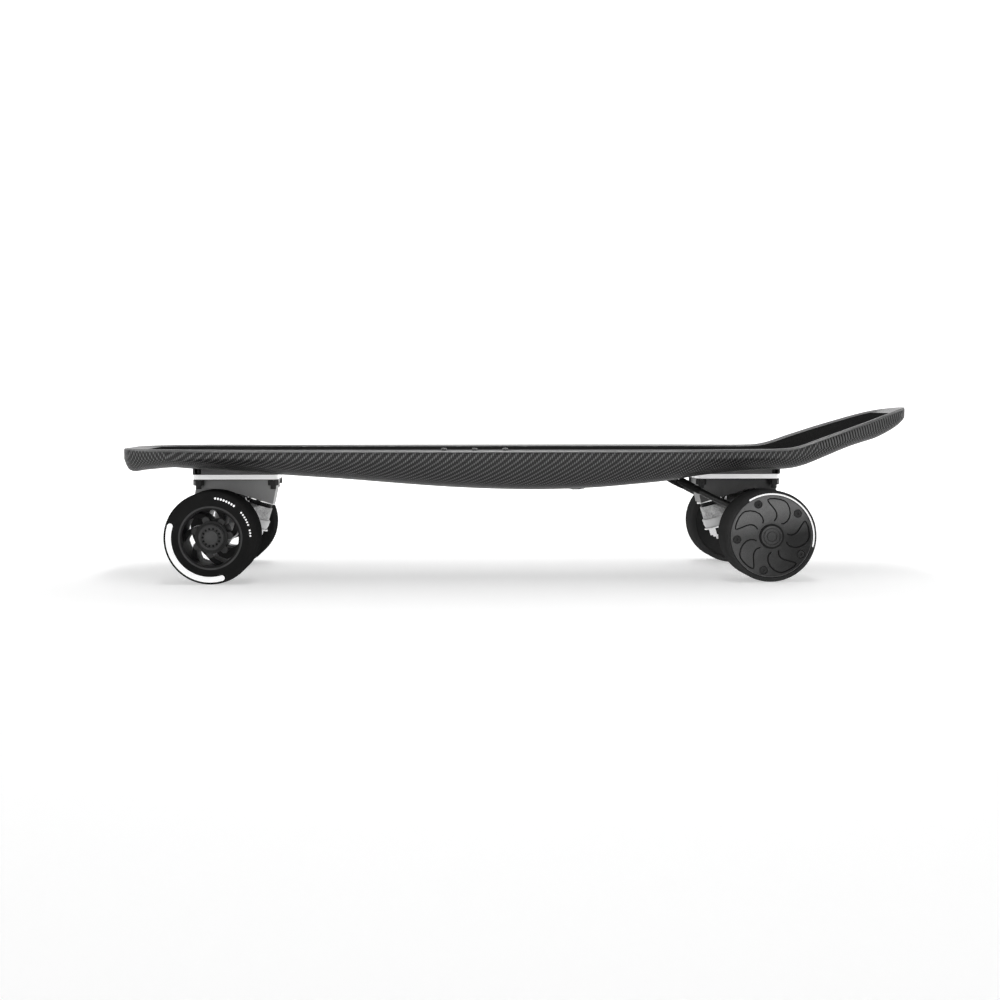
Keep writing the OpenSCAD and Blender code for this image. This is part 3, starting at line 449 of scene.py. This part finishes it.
def urethane(name, dark, light, rough, shine):
    """Cast polyurethane: soft clouds, faint mould swirl and a trace of dust."""
    look = Look(name, Specular_IOR_Level=shine)
    here = look.coordinates()
    clouds = look.noise(here, 34.0, 4.0)
    dust = look.noise(here, 1100.0, 3.0, 0.7)
    swirl = look.noise(look.stretch(here, (120.0, 500.0, 120.0)), 1.0, 2.0)
    base = look.blend(look.span(clouds, 0.3, 0.7), grey(dark), grey(light))
    colour = look.blend(look.span(dust, 0.60, 0.8, 0.0, 0.25), base, grey(light * 1.8 + 0.004))
    gloss = look.span(look.add(clouds, swirl), 0.7, 1.3, rough - 0.05, rough + 0.08)
    return look.use(colour, gloss, look.bump(look.add(swirl, dust), 0.00002, 0.6))


def printed(name):
    """White pad print with thin, slightly worn ink, and a faint painted glow."""
    look = Look(name, IOR=1.45, Emission_Color=grey(1.0), Emission_Strength=0.32)
    here = look.coordinates()
    wear = look.times(look.noise(here, 700.0, 4.0, 0.7), look.noise(here, 70.0, 2.0))
    colour = look.blend(look.span(wear, 0.33, 0.45), grey(0.93), grey(0.62))
    return look.use(colour, look.span(wear, 0.15, 0.4, 0.38, 0.6), look.bump(wear, 0.00002, 0.5))


def laminated(name):
    """Stack of thin electrical steel sheets across Y."""
    look = Look(name, Metallic=1.0)
    _, y, _ = look.split(look.coordinates())
    sheet = look.math("PINGPONG", look.times(y, 2000.0), 0.5)
    rust = look.noise(look.coordinates(), 300.0, 3.0)
    colour = look.blend(look.span(rust, 0.45, 0.75), grey(0.34), (0.30, 0.24, 0.19, 1))
    return look.use(colour, look.span(rust, 0.3, 0.7, 0.35, 0.5), look.bump(sheet, 0.00008, 0.9))


def wound(name):
    """Enamelled copper wire wound across the tooth."""
    look = Look(name, Metallic=1.0, Coat_Weight=0.6, Coat_Roughness=0.1)
    _, y, _ = look.split(look.coordinates())
    turn = look.math("PINGPONG", look.times(y, 1250.0), 0.5)
    tone = look.noise(look.coordinates(), 500.0, 2.0)
    colour = look.blend(look.span(tone, 0.3, 0.7), (0.55, 0.20, 0.07, 1), (0.80, 0.36, 0.15, 1))
    return look.use(colour, look.span(turn, 0.0, 0.5, 0.34, 0.22), look.bump(turn, 0.00035, 1.0))


def board(name):
    """Green solder mask with copper pads showing through."""
    look = Look(name, Coat_Weight=0.5, Coat_Roughness=0.15)
    here = look.coordinates()
    tracks = look.cells(look.stretch(here, (1.0, 1.0, 0.0)), 420.0, "DISTANCE_TO_EDGE")
    pads = look.cells(look.stretch(here, (1.0, 1.0, 0.0)), 260.0)
    mask = look.blend(look.span(tracks, 0.02, 0.05), (0.03, 0.16, 0.07, 1), (0.012, 0.07, 0.035, 1))
    colour = look.blend(look.below(pads, 0.12), mask, (0.75, 0.68, 0.5, 1))
    return look.use(colour, look.span(tracks, 0.0, 0.1, 0.5, 0.3), look.bump(tracks, 0.00004, 0.8))


def shrink_wrap(name):
    """Thin blue film shrunk on a cell, with fine wrinkles."""
    look = Look(name, Coat_Weight=0.4, Coat_Roughness=0.08)
    here = look.coordinates()
    folds = look.noise(look.stretch(here, (300.0, 60.0, 300.0)), 1.0, 4.0)
    colour = look.blend(look.span(folds, 0.3, 0.7), (0.02, 0.11, 0.22, 1), (0.04, 0.19, 0.33, 1))
    return look.use(colour, look.span(folds, 0.3, 0.7, 0.28, 0.42), look.bump(folds, 0.00012, 0.8))


def lens(name):
    """Smoked light window with a small lit lamp in its middle."""
    look = Look(name, IOR=1.49, Coat_Weight=0.5, Emission_Strength=0.7)
    here = look.coordinates()
    x, y, _ = look.split(here)
    frost = look.noise(here, 2200.0, 2.0)
    half_pitch = (GAUGE_XS[1] - GAUGE_XS[0]) / 2 * MM
    aside = look.math("PINGPONG", look.less(x, GAUGE_XS[0] * MM), half_pitch)
    lit = look.span(look.length(aside, look.less(y, GAUGE_Y * MM)), 0.0012, 0.0009)
    smoke = look.blend(look.span(frost, 0.3, 0.7), grey(0.02), grey(0.04))
    look.link(look.blend(lit, grey(0.0), grey(1.0)), look.shader.inputs["Emission Color"])
    return look.use(look.blend(lit, smoke, grey(0.85)), look.span(frost, 0.3, 0.7, 0.2, 0.35),
                    look.bump(frost, 0.00003, 0.6))


LOOKS = {
    "carbon": carbon("carbon_skin", True),
    "carbon_flat": carbon("carbon_flat", False),
    "grip": grit("grip", 0.030),
    "black_rubber": moulded("black_rubber", 0.008, 0.6, 0.0006),
    "riser_rubber": moulded("riser_rubber", 0.18, 0.6, 0.0007, 0.00004),
    "black_steel": moulded("black_steel", 0.030, 0.32, 0.0008, 0.00002, 0.3, 0.6),
    "lens": lens("lens"),
    "cell_wrap": shrink_wrap("cell_wrap"),
    "circuit_board": board("circuit_board"),
    "heat_sink": machined("heat_sink", 0.36, 0.36, (0, 1, 0)),
    "black_plastic": moulded("black_plastic", 0.010, 0.42, 0.0005, 0.00003, 0.16),
    "contact_metal": machined("contact_metal", 0.72, 0.2, (0, 0, 1), 0.04),
    "satin_metal": machined("satin_metal", 0.66, 0.24, (1, 0, 0)),
    "gunmetal": two_tone_plate("gunmetal_plate", 0.0812, 0.0850),
    "steel": machined("steel", 0.62, 0.22, (0, 0, 1)),
    "bright_steel": machined("bright_steel", 0.86, 0.14, (1, 0, 0)),
    "cast_aluminium": cast("cast_aluminium", 0.47, 0.42),
    "dark_urethane": urethane("dark_urethane", 0.006, 0.011, 0.42, 0.12),
    "pale_urethane": urethane("pale_urethane", 0.66, 0.78, 0.34, 0.4),
    "lamination": laminated("lamination"),
    "copper": wound("copper"),
    "cable_jacket": moulded("cable_jacket", 0.010, 0.30, 0.0007, 0.00002, 0.4),
    "wheel_urethane": urethane("wheel_urethane", 0.014, 0.020, 0.5, 0.0),
    "sleeve_urethane": urethane("sleeve_urethane", 0.032, 0.044, 0.5, 0.0),
    "nylon": wheel_core("nylon"),
    "black_metal": moulded("black_metal", 0.024, 0.40, 0.00035, 0.00002, 0.14),
    "fan_cover": fan_cover("fan_cover"),
    "magnet": machined("magnet", 0.60, 0.18, (0, 1, 0)),
    "print": printed("print"),
}


# ---------------------------------------------------------------- mesh kit

def mesh_object(name, points, faces, look, uvs=None, sharp=35):
    """Smooth mesh piece; uvs is a list with one (u, v) per corner, in the order of the faces."""
    mesh = bpy.data.meshes.new(name)
    mesh.from_pydata([tuple(p) for p in points], [], faces)
    mesh.validate()
    if uvs is not None:
        layer = mesh.uv_layers.new(name="UVMap")
        layer.data.foreach_set("uv", [c for uv in uvs for c in uv])
    mesh.materials.append(LOOKS[look])
    mesh.shade_smooth()
    mesh.set_sharp_from_angle(angle=math.radians(sharp))
    piece = bpy.data.objects.new(name, mesh)
    scene.collection.objects.link(piece)
    return piece


def ring_solid(rings):
    """Points and faces of a closed solid through rings of points, with flat ends."""
    n, m = len(rings[0]), len(rings)
    points = [p for ring in rings for p in ring]
    faces = [(i * n + j, i * n + (j + 1) % n, (i + 1) * n + (j + 1) % n, (i + 1) * n + j)
             for i in range(m - 1) for j in range(n)]
    faces += [tuple(range(n - 1, -1, -1)), tuple((m - 1) * n + j for j in range(n))]
    return points, faces


def loft(name, rings, look, uv_rings=None, sharp=35):
    """Closed skin through rings of points. A row of uv_rings holds one value more than its ring."""
    points, faces = ring_solid(rings)
    uvs = None
    if uv_rings:
        n = len(rings[0])
        uvs = [uv for low, high in zip(uv_rings, uv_rings[1:]) for j in range(n)
               for uv in (low[j], low[j + 1], high[j + 1], high[j])]
        uvs += [uv_rings[0][j] for j in range(n - 1, -1, -1)] + uv_rings[-1][:n]
    return mesh_object(name, points, faces, look, uvs, sharp)


def turned(profile, steps):
    """Points (r, z) of a profile, turned about Z."""
    angles = [2 * math.pi * i / steps for i in range(steps)]
    return [(r * math.cos(a), r * math.sin(a), z) for a in angles for r, z in profile]


def lathe(profile, steps, place):
    """Turned solid whose profile is a closed list of (r, z), under a matrix."""
    n = len(profile)
    faces = []
    for i in range(steps):
        k = (i + 1) % steps
        for j in range(n):
            faces.append((i * n + j, k * n + j, k * n + (j + 1) % n, i * n + (j + 1) % n))
    return [place @ Vector(p) for p in turned(profile, steps)], faces


def spindle(profile, steps, place):
    """Turned solid whose open profile starts and ends on the axis, under a matrix."""
    inner = profile[1:-1]
    n = len(inner)
    points = turned(inner, steps) + [(0, 0, profile[0][1]), (0, 0, profile[-1][1])]
    faces = []
    low, high = n * steps, n * steps + 1
    for i in range(steps):
        k = (i + 1) % steps
        for j in range(n - 1):
            faces.append((i * n + j, k * n + j, k * n + j + 1, i * n + j + 1))
        faces.append((low, k * n, i * n))
        faces.append((high, i * n + n - 1, k * n + n - 1))
    return [place @ Vector(p) for p in points], faces


def facing_out(piece):
    mesh = bmesh.new()
    mesh.from_mesh(piece.data)
    bmesh.ops.recalc_face_normals(mesh, faces=mesh.faces)
    mesh.to_mesh(piece.data)
    mesh.free()
    return piece


def joined(solids):
    """One list of points and one of faces, in metres, for solids in millimetres."""
    points, faces = [], []
    for some_points, some_faces in solids:
        start = len(points)
        points += [Vector(p) * MM for p in some_points]
        faces += [tuple(start + v for v in face) for face in some_faces]
    return points, faces


def cut(piece, groups):
    """Takes each group of cutting solids out of the piece."""
    cutters = []
    for i, group in enumerate(groups):
        points, faces = joined(group)
        cutter = facing_out(mesh_object(f"cutter_{i}", points, faces, "carbon_flat"))
        modifier = piece.modifiers.new(f"cut_{i}", "BOOLEAN")
        modifier.operation = "DIFFERENCE"
        modifier.solver = "MANIFOLD"
        modifier.object = cutter
        cutters.append(cutter)
    bpy.context.view_layer.update()
    shaped = piece.evaluated_get(bpy.context.evaluated_depsgraph_get())
    mesh = bpy.data.meshes.new_from_object(shaped)
    mesh.shade_smooth()
    mesh.set_sharp_from_angle(angle=math.radians(35))
    piece.modifiers.clear()
    piece.data = mesh
    for cutter in cutters:
        bpy.data.objects.remove(cutter)


def prism(outline, z0, z1):
    """Cutting solid: an outline of (x, y) between two heights."""
    n = len(outline)
    points = [(x, y, z0) for x, y in outline] + [(x, y, z1) for x, y in outline]
    faces = [tuple(range(n - 1, -1, -1)), tuple(range(n, 2 * n))]
    faces += [(i, (i + 1) % n, n + (i + 1) % n, n + i) for i in range(n)]
    return points, faces


def round_box(x0, x1, y0, y1, r, steps):
    """Outline of a box whose corners have the radius r."""
    outline = []
    corners = ((x1 - r, y1 - r, 0), (x0 + r, y1 - r, 90), (x0 + r, y0 + r, 180), (x1 - r, y0 + r, 270))
    for cx, cy, start in corners:
        for i in range(steps + 1):
            a = math.radians(start + 90 * i / steps)
            outline.append((cx + r * math.cos(a), cy + r * math.sin(a)))
    return outline


def catmull(points, per):
    """Smooth curve through the points, with a number of steps per stretch."""
    p = [2 * points[0] - points[1]] + list(points) + [2 * points[-1] - points[-2]]
    out = []
    for i in range(1, len(p) - 2):
        for s in range(per):
            f = s / per
            out.append(0.5 * ((2 * p[i]) + (p[i + 1] - p[i - 1]) * f
                              + (2 * p[i - 1] - 5 * p[i] + 4 * p[i + 1] - p[i + 2]) * f * f
                              + (3 * p[i] - p[i - 1] - 3 * p[i + 1] + p[i + 2]) * f ** 3))
    out.append(points[-1])
    return out


def tube(name, path, radii, look):
    """Tube along a path with its own radius at each point, and UV along and round it."""
    rings, uv_rings = [], []
    sides = 24
    up = Vector((0, 1, 0))
    run = 0.0
    for i, p in enumerate(path):
        ahead = path[min(i + 1, len(path) - 1)] - path[max(i - 1, 0)]
        side = ahead.cross(up).normalized()
        top = side.cross(ahead).normalized()
        run += (p - path[i - 1]).length if i else 0.0
        r = radii[i]
        rings.append([p + r * (math.cos(a) * side + math.sin(a) * top)
                      for a in (2 * math.pi * j / sides for j in range(sides))])
        uv_rings.append([(run, 2 * math.pi * r * j / sides) for j in range(sides + 1)])
    return facing_out(loft(name, rings, look, uv_rings, 50))


# ---------------------------------------------------------------- deck shape, as in the CAD

HALF_W, DISH = 106.0, 2.0
NOSE, TAIL, TOP_Z = -338.0, 338.0, 106.0
BELLY = [
    (NOSE, 100.5), (NOSE + 2, 95), (NOSE + 7, 88.6), (-316, 89.8), (-292, 92), (-279, 91.2),
    (-240, 88.9), (-206, 86.2), (-146, 82), (-103, 78.4), (-60, 75.3), (-16, 73.4), (20, 73),
    (60, 74.4), (90, 76.8), (125, 80.4), (152, 84.8), (190, 88.2), (228, 90), (240, 92.4),
    (250, 96), (262, 101), (278, 107.4), (292, 111.8), (305, 115.4), (319, 121.4),
    (330, 127.6), (TAIL - 3, 131.6), (TAIL, 135),
]
RAILS = [
    (NOSE, 106.6), (NOSE + 2, 107.7), (NOSE + 5, 108.1), (-300, 108.3), (-250, 108.2),
    (-226, 108), (-215, 108), (200, 108), (216, 108.3), (224, 108.9), (232, 110.6), (240, 113.2),
    (250, 116.8), (276, 125.5), (295, 131.6), (309, 136.1), (320, 139.2), (332, 141.6), (TAIL, 142.5),
]


def ease(f):
    f = max(0.0, min(1.0, f))
    return f * f * (3 - 2 * f)


def along(keys, x):
    """Height of the smooth curve through the keys."""
    i = 0
    while i < len(keys) - 2 and x >= keys[i + 1][0]:
        i += 1

    def slope(k):
        a, b = keys[max(0, k - 1)], keys[min(len(keys) - 1, k + 1)]
        return (b[1] - a[1]) / (b[0] - a[0])

    h = keys[i + 1][0] - keys[i][0]
    f = max(0.0, min(1.0, (x - keys[i][0]) / h))
    return (keys[i][1] * (2 * f ** 3 - 3 * f * f + 1) + slope(i) * h * (f ** 3 - 2 * f * f + f)
            + keys[i + 1][1] * (3 * f * f - 2 * f ** 3) + slope(i + 1) * h * (f ** 3 - f * f))


def end_round(f, power):
    return max(0.0, 1 - max(0.0, min(1.0, f)) ** power) ** (1 / power)


def deck_half(x):
    half = HALF_W * (1 - 0.05 * ease(-x / 300) if x < 0 else 1 - 0.26 * ease((x - 120) / 140))
    if x < -240:
        half *= end_round((-x - 240) / (-NOSE - 240), 2.5)
    if x > 240:
        half *= end_round((x - 240) / (TAIL - 240), 2.0)
    return half


def under_at(x, t):
    edge = along(RAILS, x) - 8
    return edge - (edge - along(BELLY, x)) * (1 - max(0.0, (t - 0.28) / 0.72) ** 3.4)


def over_at(x, t):
    fade = ease((x - NOSE - 6) / 14) * ease((TAIL - 6 - x) / 14)
    return along(RAILS, x) - DISH * fade * (1 - ease((t - 0.80) / 0.13))


def half_section(x):
    """Outline across X from the middle of the top to the middle of the underside."""
    w = max(0.4, deck_half(x))
    rail = along(RAILS, x)
    drop = min(1.0, (rail - along(BELLY, x)) / 16)
    soft = min(1.0, w / 12)
    overs = [0.1 * i for i in range(8)] + [0.78 + 0.015 * i for i in range(11)]
    out = [(t * w, over_at(x, t)) for t in overs]
    corner = [Vector((w - a * soft, rail - b * drop)) for a, b in
              ((3.2, 0.1), (1.3, 0.7), (0.3, 2.2), (0.0, 4.4), (0.3, 6.6))]
    out += [tuple(p) for p in catmull(corner, 4)]
    unders = [0.98, 0.97, 0.955, 0.94, 0.92, 0.90] + [0.87 - 0.03 * i for i in range(20)]
    unders += [0.24, 0.18, 0.12, 0.06, 0.0]
    out += [(t * w, min(under_at(x, t), rail - 7 * drop)) for t in unders]
    return out


def spaced(a, b, step):
    n = max(1, round((b - a) / step))
    return [a + (b - a) * i / n for i in range(n)]


deck_xs = [NOSE, NOSE + 0.15, NOSE + 0.6, NOSE + 1.4, NOSE + 2.5, NOSE + 4, NOSE + 6, NOSE + 9]
deck_xs += spaced(NOSE + 12, NOSE + 60, 3) + spaced(NOSE + 60, 200, 7) + spaced(200, TAIL - 24, 3)
deck_xs += [TAIL - 24, TAIL - 20, TAIL - 16, TAIL - 12, TAIL - 9, TAIL - 6, TAIL - 4, TAIL - 2.5]
deck_xs += [TAIL - 1.4, TAIL - 0.6, TAIL - 0.15, TAIL]


def deck_rings():
    """Rings of the skin and their UV: u follows the rail, v is measured round from the belly's middle."""
    rings, uv_rings = [], []
    run, last = 0.0, None
    for x in deck_xs:
        half = half_section(x)
        n = len(half)
        lengths = [0.0]
        for i in range(n - 1, 0, -1):
            lengths.append(lengths[-1] + math.dist(half[i], half[i - 1]))
        lengths.reverse()
        here = (x, along(RAILS, x))
        run += math.dist(here, last) if last else 0.0
        last = here
        loop = half + [(-y, z) for y, z in reversed(half[1:-1])]
        rings.append([Vector((x, y, z)) * MM for y, z in loop])
        vs = lengths + [-lengths[i] for i in range(n - 2, -1, -1)]
        uv_rings.append([(run * MM, v * MM) for v in vs])
    return rings, uv_rings


def bay_cutter():
    """Room for the battery: it follows the belly at the thickness of its wall."""
    rings = []
    ts = [0.655, 0.62, 0.56, 0.5, 0.44, 0.38, 0.32, 0.28, 0.14, 0.0]
    wall = 2.5
    for x in [-182 + 324 * i / 54 for i in range(55)]:
        w = deck_half(x)
        floor = [(t * w, under_at(x, t) + wall) for t in ts]
        ring = floor + [(-y, z) for y, z in reversed(floor[:-1])]
        ring += [(-0.655 * w, 110.0), (0.655 * w, 110.0)]
        rings.append([(x, y, z) for y, z in ring])
    return ring_solid(rings)


def truck_x(u, rear):
    """X of a place measured inward from the axle of a truck."""
    return REAR_X - u if rear else FRONT_X + u


PLATE_U = 11.9
BOLTS = [(truck_x(PLATE_U + du, rear), y) for rear in (False, True)
         for du in (-31.75, 31.75) for y in (-20.65, 20.65)]


def seat_cutter(rear):
    """Flat, slanted seat of a riser in the underside, with its height given 36 mm each side of the plate."""
    low_u, high_u = PLATE_U - 38, PLATE_U + 43

    def top(u):
        return 92.8 + (86.7 - 92.8) * (u - PLATE_U + 36) / 72

    side = [(low_u, 60), (high_u, 60), (high_u, top(high_u)), (low_u, top(low_u))]
    points = [(truck_x(u, rear), y, z) for y in (-29, 29) for u, z in side]
    return points, [(3, 2, 1, 0), (4, 5, 6, 7), (0, 1, 5, 4), (1, 2, 6, 5), (2, 3, 7, 6), (3, 0, 4, 7)]


def at(x, y):
    return Matrix.Translation((x, y, 0))


def along_z(p, direction):
    """Matrix that puts local Z along a direction at a point."""
    return Matrix.Translation(p) @ Vector(direction).to_track_quat("Z", "Y").to_matrix().to_4x4()


LEAD = [Vector(p) for p in (
    (135, 45, 81.4), (138.6, 46.2, 78.8), (145, 48.8, 75.2), (153, 52, 71),
    (162, 55.6, 66.4), (171, 58.8, 62.2), (180, 61.4, 58.2), (186, 62.8, 55.2), (189, 63, 52.4))]
GLAND_DIR = Vector((0.8, 0.2, -0.566))


def mirrored(p, side):
    return Vector((p.x, p.y * side, p.z))


def solid_piece(name, solids, look, body):
    """Several solids in millimetres as one piece that rides on a body."""
    piece = facing_out(mesh_object(name, *joined(solids), look))
    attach(piece, body)
    return piece


def build_deck():
    rings, uv_rings = deck_rings()
    skin = facing_out(loft("deck_skin", rings, "carbon", uv_rings))
    bolt = [(0, 60), (2.6, 60), (2.6, TOP_Z - 2.7), (5, TOP_Z), (5, 125), (0, 125)]
    holes = [spindle(bolt, 40, at(x, y)) for x, y in BOLTS]
    gauge = [(0, 105.5), (2.4, 105.5), (2.4, 114), (0, 114)]
    holes += [spindle(gauge, 24, at(x, GAUGE_Y)) for x in GAUGE_XS]
    gland = [(0, -18), (4.1, -18), (4.1, 12), (0, 12)]
    holes += [spindle(gland, 32, along_z(mirrored(LEAD[0], s), mirrored(GLAND_DIR, s))) for s in (-1, 1)]
    panel = prism(round_box(49 - 7.8, 49 + 7.8, -25.8, 25.8, 7.8, 12), 60, 80)
    lid = prism(round_box(-191.3, 151.3, -78.3, 78.3, 9, 10), TOP_Z - 3.3, 120)
    cut(skin, [[seat_cutter(False), seat_cutter(True)], holes, [panel], [lid], [bay_cutter()]])
    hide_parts("deck_shell")
    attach(skin, "deck")


def build_grip_rear():
    """Grip on the kicktail, in fine steps so that it follows the curve."""
    xs = [152.0] + spaced(152, TAIL - 20, 2.4)[1:] + [TAIL - 20]
    rings = []
    for x in xs:
        z = over_at(x, 0) + 0.02
        g = min(0.79 * deck_half(x), 84)
        across = [g * (1 - 2 * i / 24) for i in range(25)]
        ring = [(x, y, z + 0.8 - (0.25 if i in (0, 24) else 0)) for i, y in enumerate(across)]
        ring += [(x, -g, z), (x, g, z)]
        rings.append([Vector(p) * MM for p in ring])
    sheet = facing_out(loft("grip_rear_sheet", rings, "grip"))
    eye = [(0, 90), (5.4, 90), (5.4, 130), (0, 130)]
    eyes = [spindle(eye, 40, at(x, y)) for x, y in BOLTS if x > 150]
    cut(sheet, [eyes])
    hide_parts("grip_rear")
    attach(sheet, "deck")


def build_leads():
    """Motor leads, the tapered sleeves where they leave the belly, and the plugs of their glands."""
    for side, word in ((-1, "left"), (1, "right")):
        path = [mirrored(p, side) * MM for p in catmull(LEAD, 8)]
        lead = tube(f"motor_lead_{word}", path, [0.00275] * len(path), "cable_jacket")
        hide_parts(f"motor_cable_{word}")
        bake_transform(lead)
        stretch = path[:24]
        radii = []
        for i in range(len(stretch)):
            groove = 0.0002 if 5 < i < 20 and i % 3 == 0 else 0.0
            radii.append(0.0029 + 0.0005 * math.sin(math.pi * i / 23) - groove)
        boot = tube(f"lead_boot_{word}", stretch, radii, "black_rubber")
        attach(boot, "deck")
    plug = [(0, -7), (4, -7), (4, -5.6), (3.4, -4.2), (3.1, -1.4), (0, -1.4)]
    solids = [spindle(plug, 40, along_z(mirrored(LEAD[0], s), mirrored(GLAND_DIR, s))) for s in (-1, 1)]
    plugs = solid_piece("gland_plugs", solids, "black_rubber", "deck")
    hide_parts("cable_glands")


# ---------------------------------------------------------------- trucks

TILT = math.radians(17)


def kingpin_frame(rear, t):
    """Matrix with local Z along the kingpin, downward from its seat, t mm along it."""
    axis = Vector((math.sin(TILT) * (1 if rear else -1), 0, -math.cos(TILT)))
    seat = Vector((truck_x(32, rear), 0, 62.7))
    return along_z(seat + axis * t, axis)


def build_bushings():
    """Soft rings above and below the hanger."""
    upper = [(5.05, 1.25), (9.4, 1.25), (9.9, 1.6), (10.0, 2.4), (10.15, 3.1), (10.0, 4.0),
             (9.8, 4.7), (9.4, 4.98), (5.05, 4.98)]
    lower = [(5.05, 16.02), (11.9, 16.02), (12.35, 16.4), (12.4, 17.4), (12.1, 18.6), (12.25, 20.0),
             (11.9, 21.6), (11.6, 22.9), (11.2, 23.6), (10.8, 23.95), (5.05, 23.95)]
    for rear, end in ((False, "front"), (True, "rear")):
        for profile, kind, look, near, far in (
            (upper, "upper", "dark_urethane", 1.25, 4.98), (lower, "lower", "pale_urethane", 23.95, 16.02)
        ):
            points, faces = lathe(profile, 64, kingpin_frame(rear, 0))
            ring = facing_out(mesh_object(f"{end}_{kind}_bush", [p * MM for p in points], faces, look))
            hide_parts(f"{end}_{kind}_bushing")
            start = kingpin_frame(rear, near).translation * MM
            kingpin_frame(rear, far).translation * MM
            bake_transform(ring)


# ---------------------------------------------------------------- wheels

def wheel_frame(x, y, side):
    """Local Z outward along the axle. y is the middle of the wheel, outward."""
    turn = Matrix.Rotation(math.radians(90 if side < 0 else -90), 4, "X")
    return Matrix.Translation((x, side * y, AXLE_Z)) @ turn


def front_face(r):
    """Height of the outer face of a front tyre at a radius, from the wheel's middle."""
    if r < 34.9:
        return 27 - 0.6 * (34.9 - r) / 3.9
    return 24.4 + math.sqrt(max(0.0, 2.6 ** 2 - (r - 34.9) ** 2))


def rear_face(r):
    """The same for the rounded edge of a rear tyre."""
    return 18.1 + math.sqrt(max(0.0, 4.2 ** 2 - (r - 33.3) ** 2))


def arc_print(r0, r1, a0, a1, face, step, cells):
    """Thin printed band between two radii and two angles on a wheel's face, with round ends."""
    ink, sunk, bevel = 0.12, 0.15, 0.06
    half, mid = (r1 - r0) / 2, (r0 + r1) / 2
    reach = math.degrees(half / mid)
    straight = a1 - a0 - 2 * reach
    n = max(1, round(straight / step))
    ends = [reach * (1 - math.cos(math.pi / 2 * i / 6)) for i in range(7)]
    angles = [a0 + end for end in ends]
    angles += [a0 + reach + straight * i / n for i in range(1, n)]
    angles += [a1 - end for end in reversed(ends)]
    rings = []
    for a in angles:
        inset = max(0.0, reach - min(a - a0, a1 - a)) / reach
        wide = half * math.sqrt(max(0.0004, 1 - inset * inset))
        rs = [mid - wide + 2 * wide * i / cells for i in range(cells + 1)]
        c, s = math.cos(math.radians(a)), math.sin(math.radians(a))
        ring = [(r * c, r * s, face(r) + ink - (bevel if i in (0, cells) else 0)) for i, r in enumerate(rs)]
        ring += [(r * c, r * s, face(r) - sunk) for r in reversed(rs)]
        rings.append(ring)
    return ring_solid(rings)


def build_prints():
    """White stripes on all tyres, and rows of plain dashes on the front ones."""
    for side, word in ((-1, "left"), (1, "right")):
        front = [arc_print(31.2, 35.6, 159, 290, front_face, 2.0, 6)]
        front += [arc_print(31.5, 33.5, 52 + 4.1 * i, 54.9 + 4.1 * i, front_face, 1.0, 4) for i in range(8)]
        front += [arc_print(31.7, 33.3, 2 + 4 * i, 4.6 + 4 * i, front_face, 1.0, 4)
                  for i in range(10) if i != 3]
        rear = [arc_print(34.0, 35.3, -14.4, 122.7, rear_face, 2.0, 6)]
        for end, marks, place in (("front", front, wheel_frame(FRONT_X, 89, side)),
                                  ("rear", rear, wheel_frame(REAR_X, 93.5, side))):
            solids = [([place @ Vector(p) for p in points], faces) for points, faces in marks]
            solid_piece(f"{end}_{word}_stripe", solids, "print", f"{end}_{word}_wheel")


# ---------------------------------------------------------------- assembly

build_deck()
build_grip_rear()
build_leads()
build_bushings()
build_prints()

# Nodes whose look isn't the one named after their material slot
OWN_LOOK = {
    "deck_lid": "carbon_flat",
    "deck_shell": "carbon_flat",
    "riser_pads": "riser_rubber",
    "rear_left_cover": "fan_cover",
    "rear_right_cover": "fan_cover",
    "rear_left_tyre": "sleeve_urethane",
    "rear_right_tyre": "sleeve_urethane",
}
for entry in frame["record"]["subparts"]:
    look = OWN_LOOK.get(entry["node"], entry["material_slot"])
    node = nodes[entry["node"]]
    node.data.materials.clear()
    node.data.materials.append(LOOKS[look])


def build_stage():
    """Pale floor that curves up into a plain wall on all sides, nearest behind the board."""
    turns = [math.pi / 2 * i / 16 for i in range(17)]
    curve = [(1.6 * math.sin(a), 1.6 - 1.6 * math.cos(a)) for a in turns]
    points, faces = [], []

    def sheet(low_edge, high_edge):
        """Strip of faces between two edges with the same number of points."""
        start, n = len(points), len(low_edge)
        points.extend(low_edge + high_edge)
        faces.extend((start + i, start + n + i, start + n + i + 1, start + i + 1) for i in range(n - 1))

    behind = [(-7.4, 0.0), (1.8, 0.0)] + [(1.8 + y, z) for y, z in curve[1:]] + [(3.4, 5.0)]
    sheet([(-9.0, y, z) for y, z in behind], [(9.0, y, z) for y, z in behind])
    front = [(-7.4 - y, z) for y, z in curve] + [(-9.0, 3.5)]
    sheet([(-9.0, y, z) for y, z in front], [(9.0, y, z) for y, z in front])
    beside = [(5.0 + x, z) for x, z in curve] + [(6.6, 3.5)]
    for side in (-1, 1):
        sheet([(side * x, -9.0, z) for x, z in beside], [(side * x, 3.4, z) for x, z in beside])
    look = Look("floor", Specular_IOR_Level=0.1, Emission_Color=grey(1.0))
    here = look.coordinates()
    _, y, z = look.split(here)
    beyond = look.times(look.math("MAXIMUM", look.less(y, 0.35), 0.0), 0.3)
    rise = look.times(look.span(look.add(z, beyond), 0.0, 0.5, 0.0, 0.44), look.span(y, -6.0, 0.0, 0.3, 1.0))
    look.link(look.add(rise, 0.46), look.shader.inputs["Emission Strength"])
    cloud = look.noise(here, 3.0, 2.0)
    LOOKS["floor"] = look.use(look.blend(look.span(cloud, 0.3, 0.7), grey(0.72), grey(0.74)),
                              look.span(cloud, 0.3, 0.7, 0.7, 0.8))
    mesh_object("floor", points, faces, "floor")


build_stage()
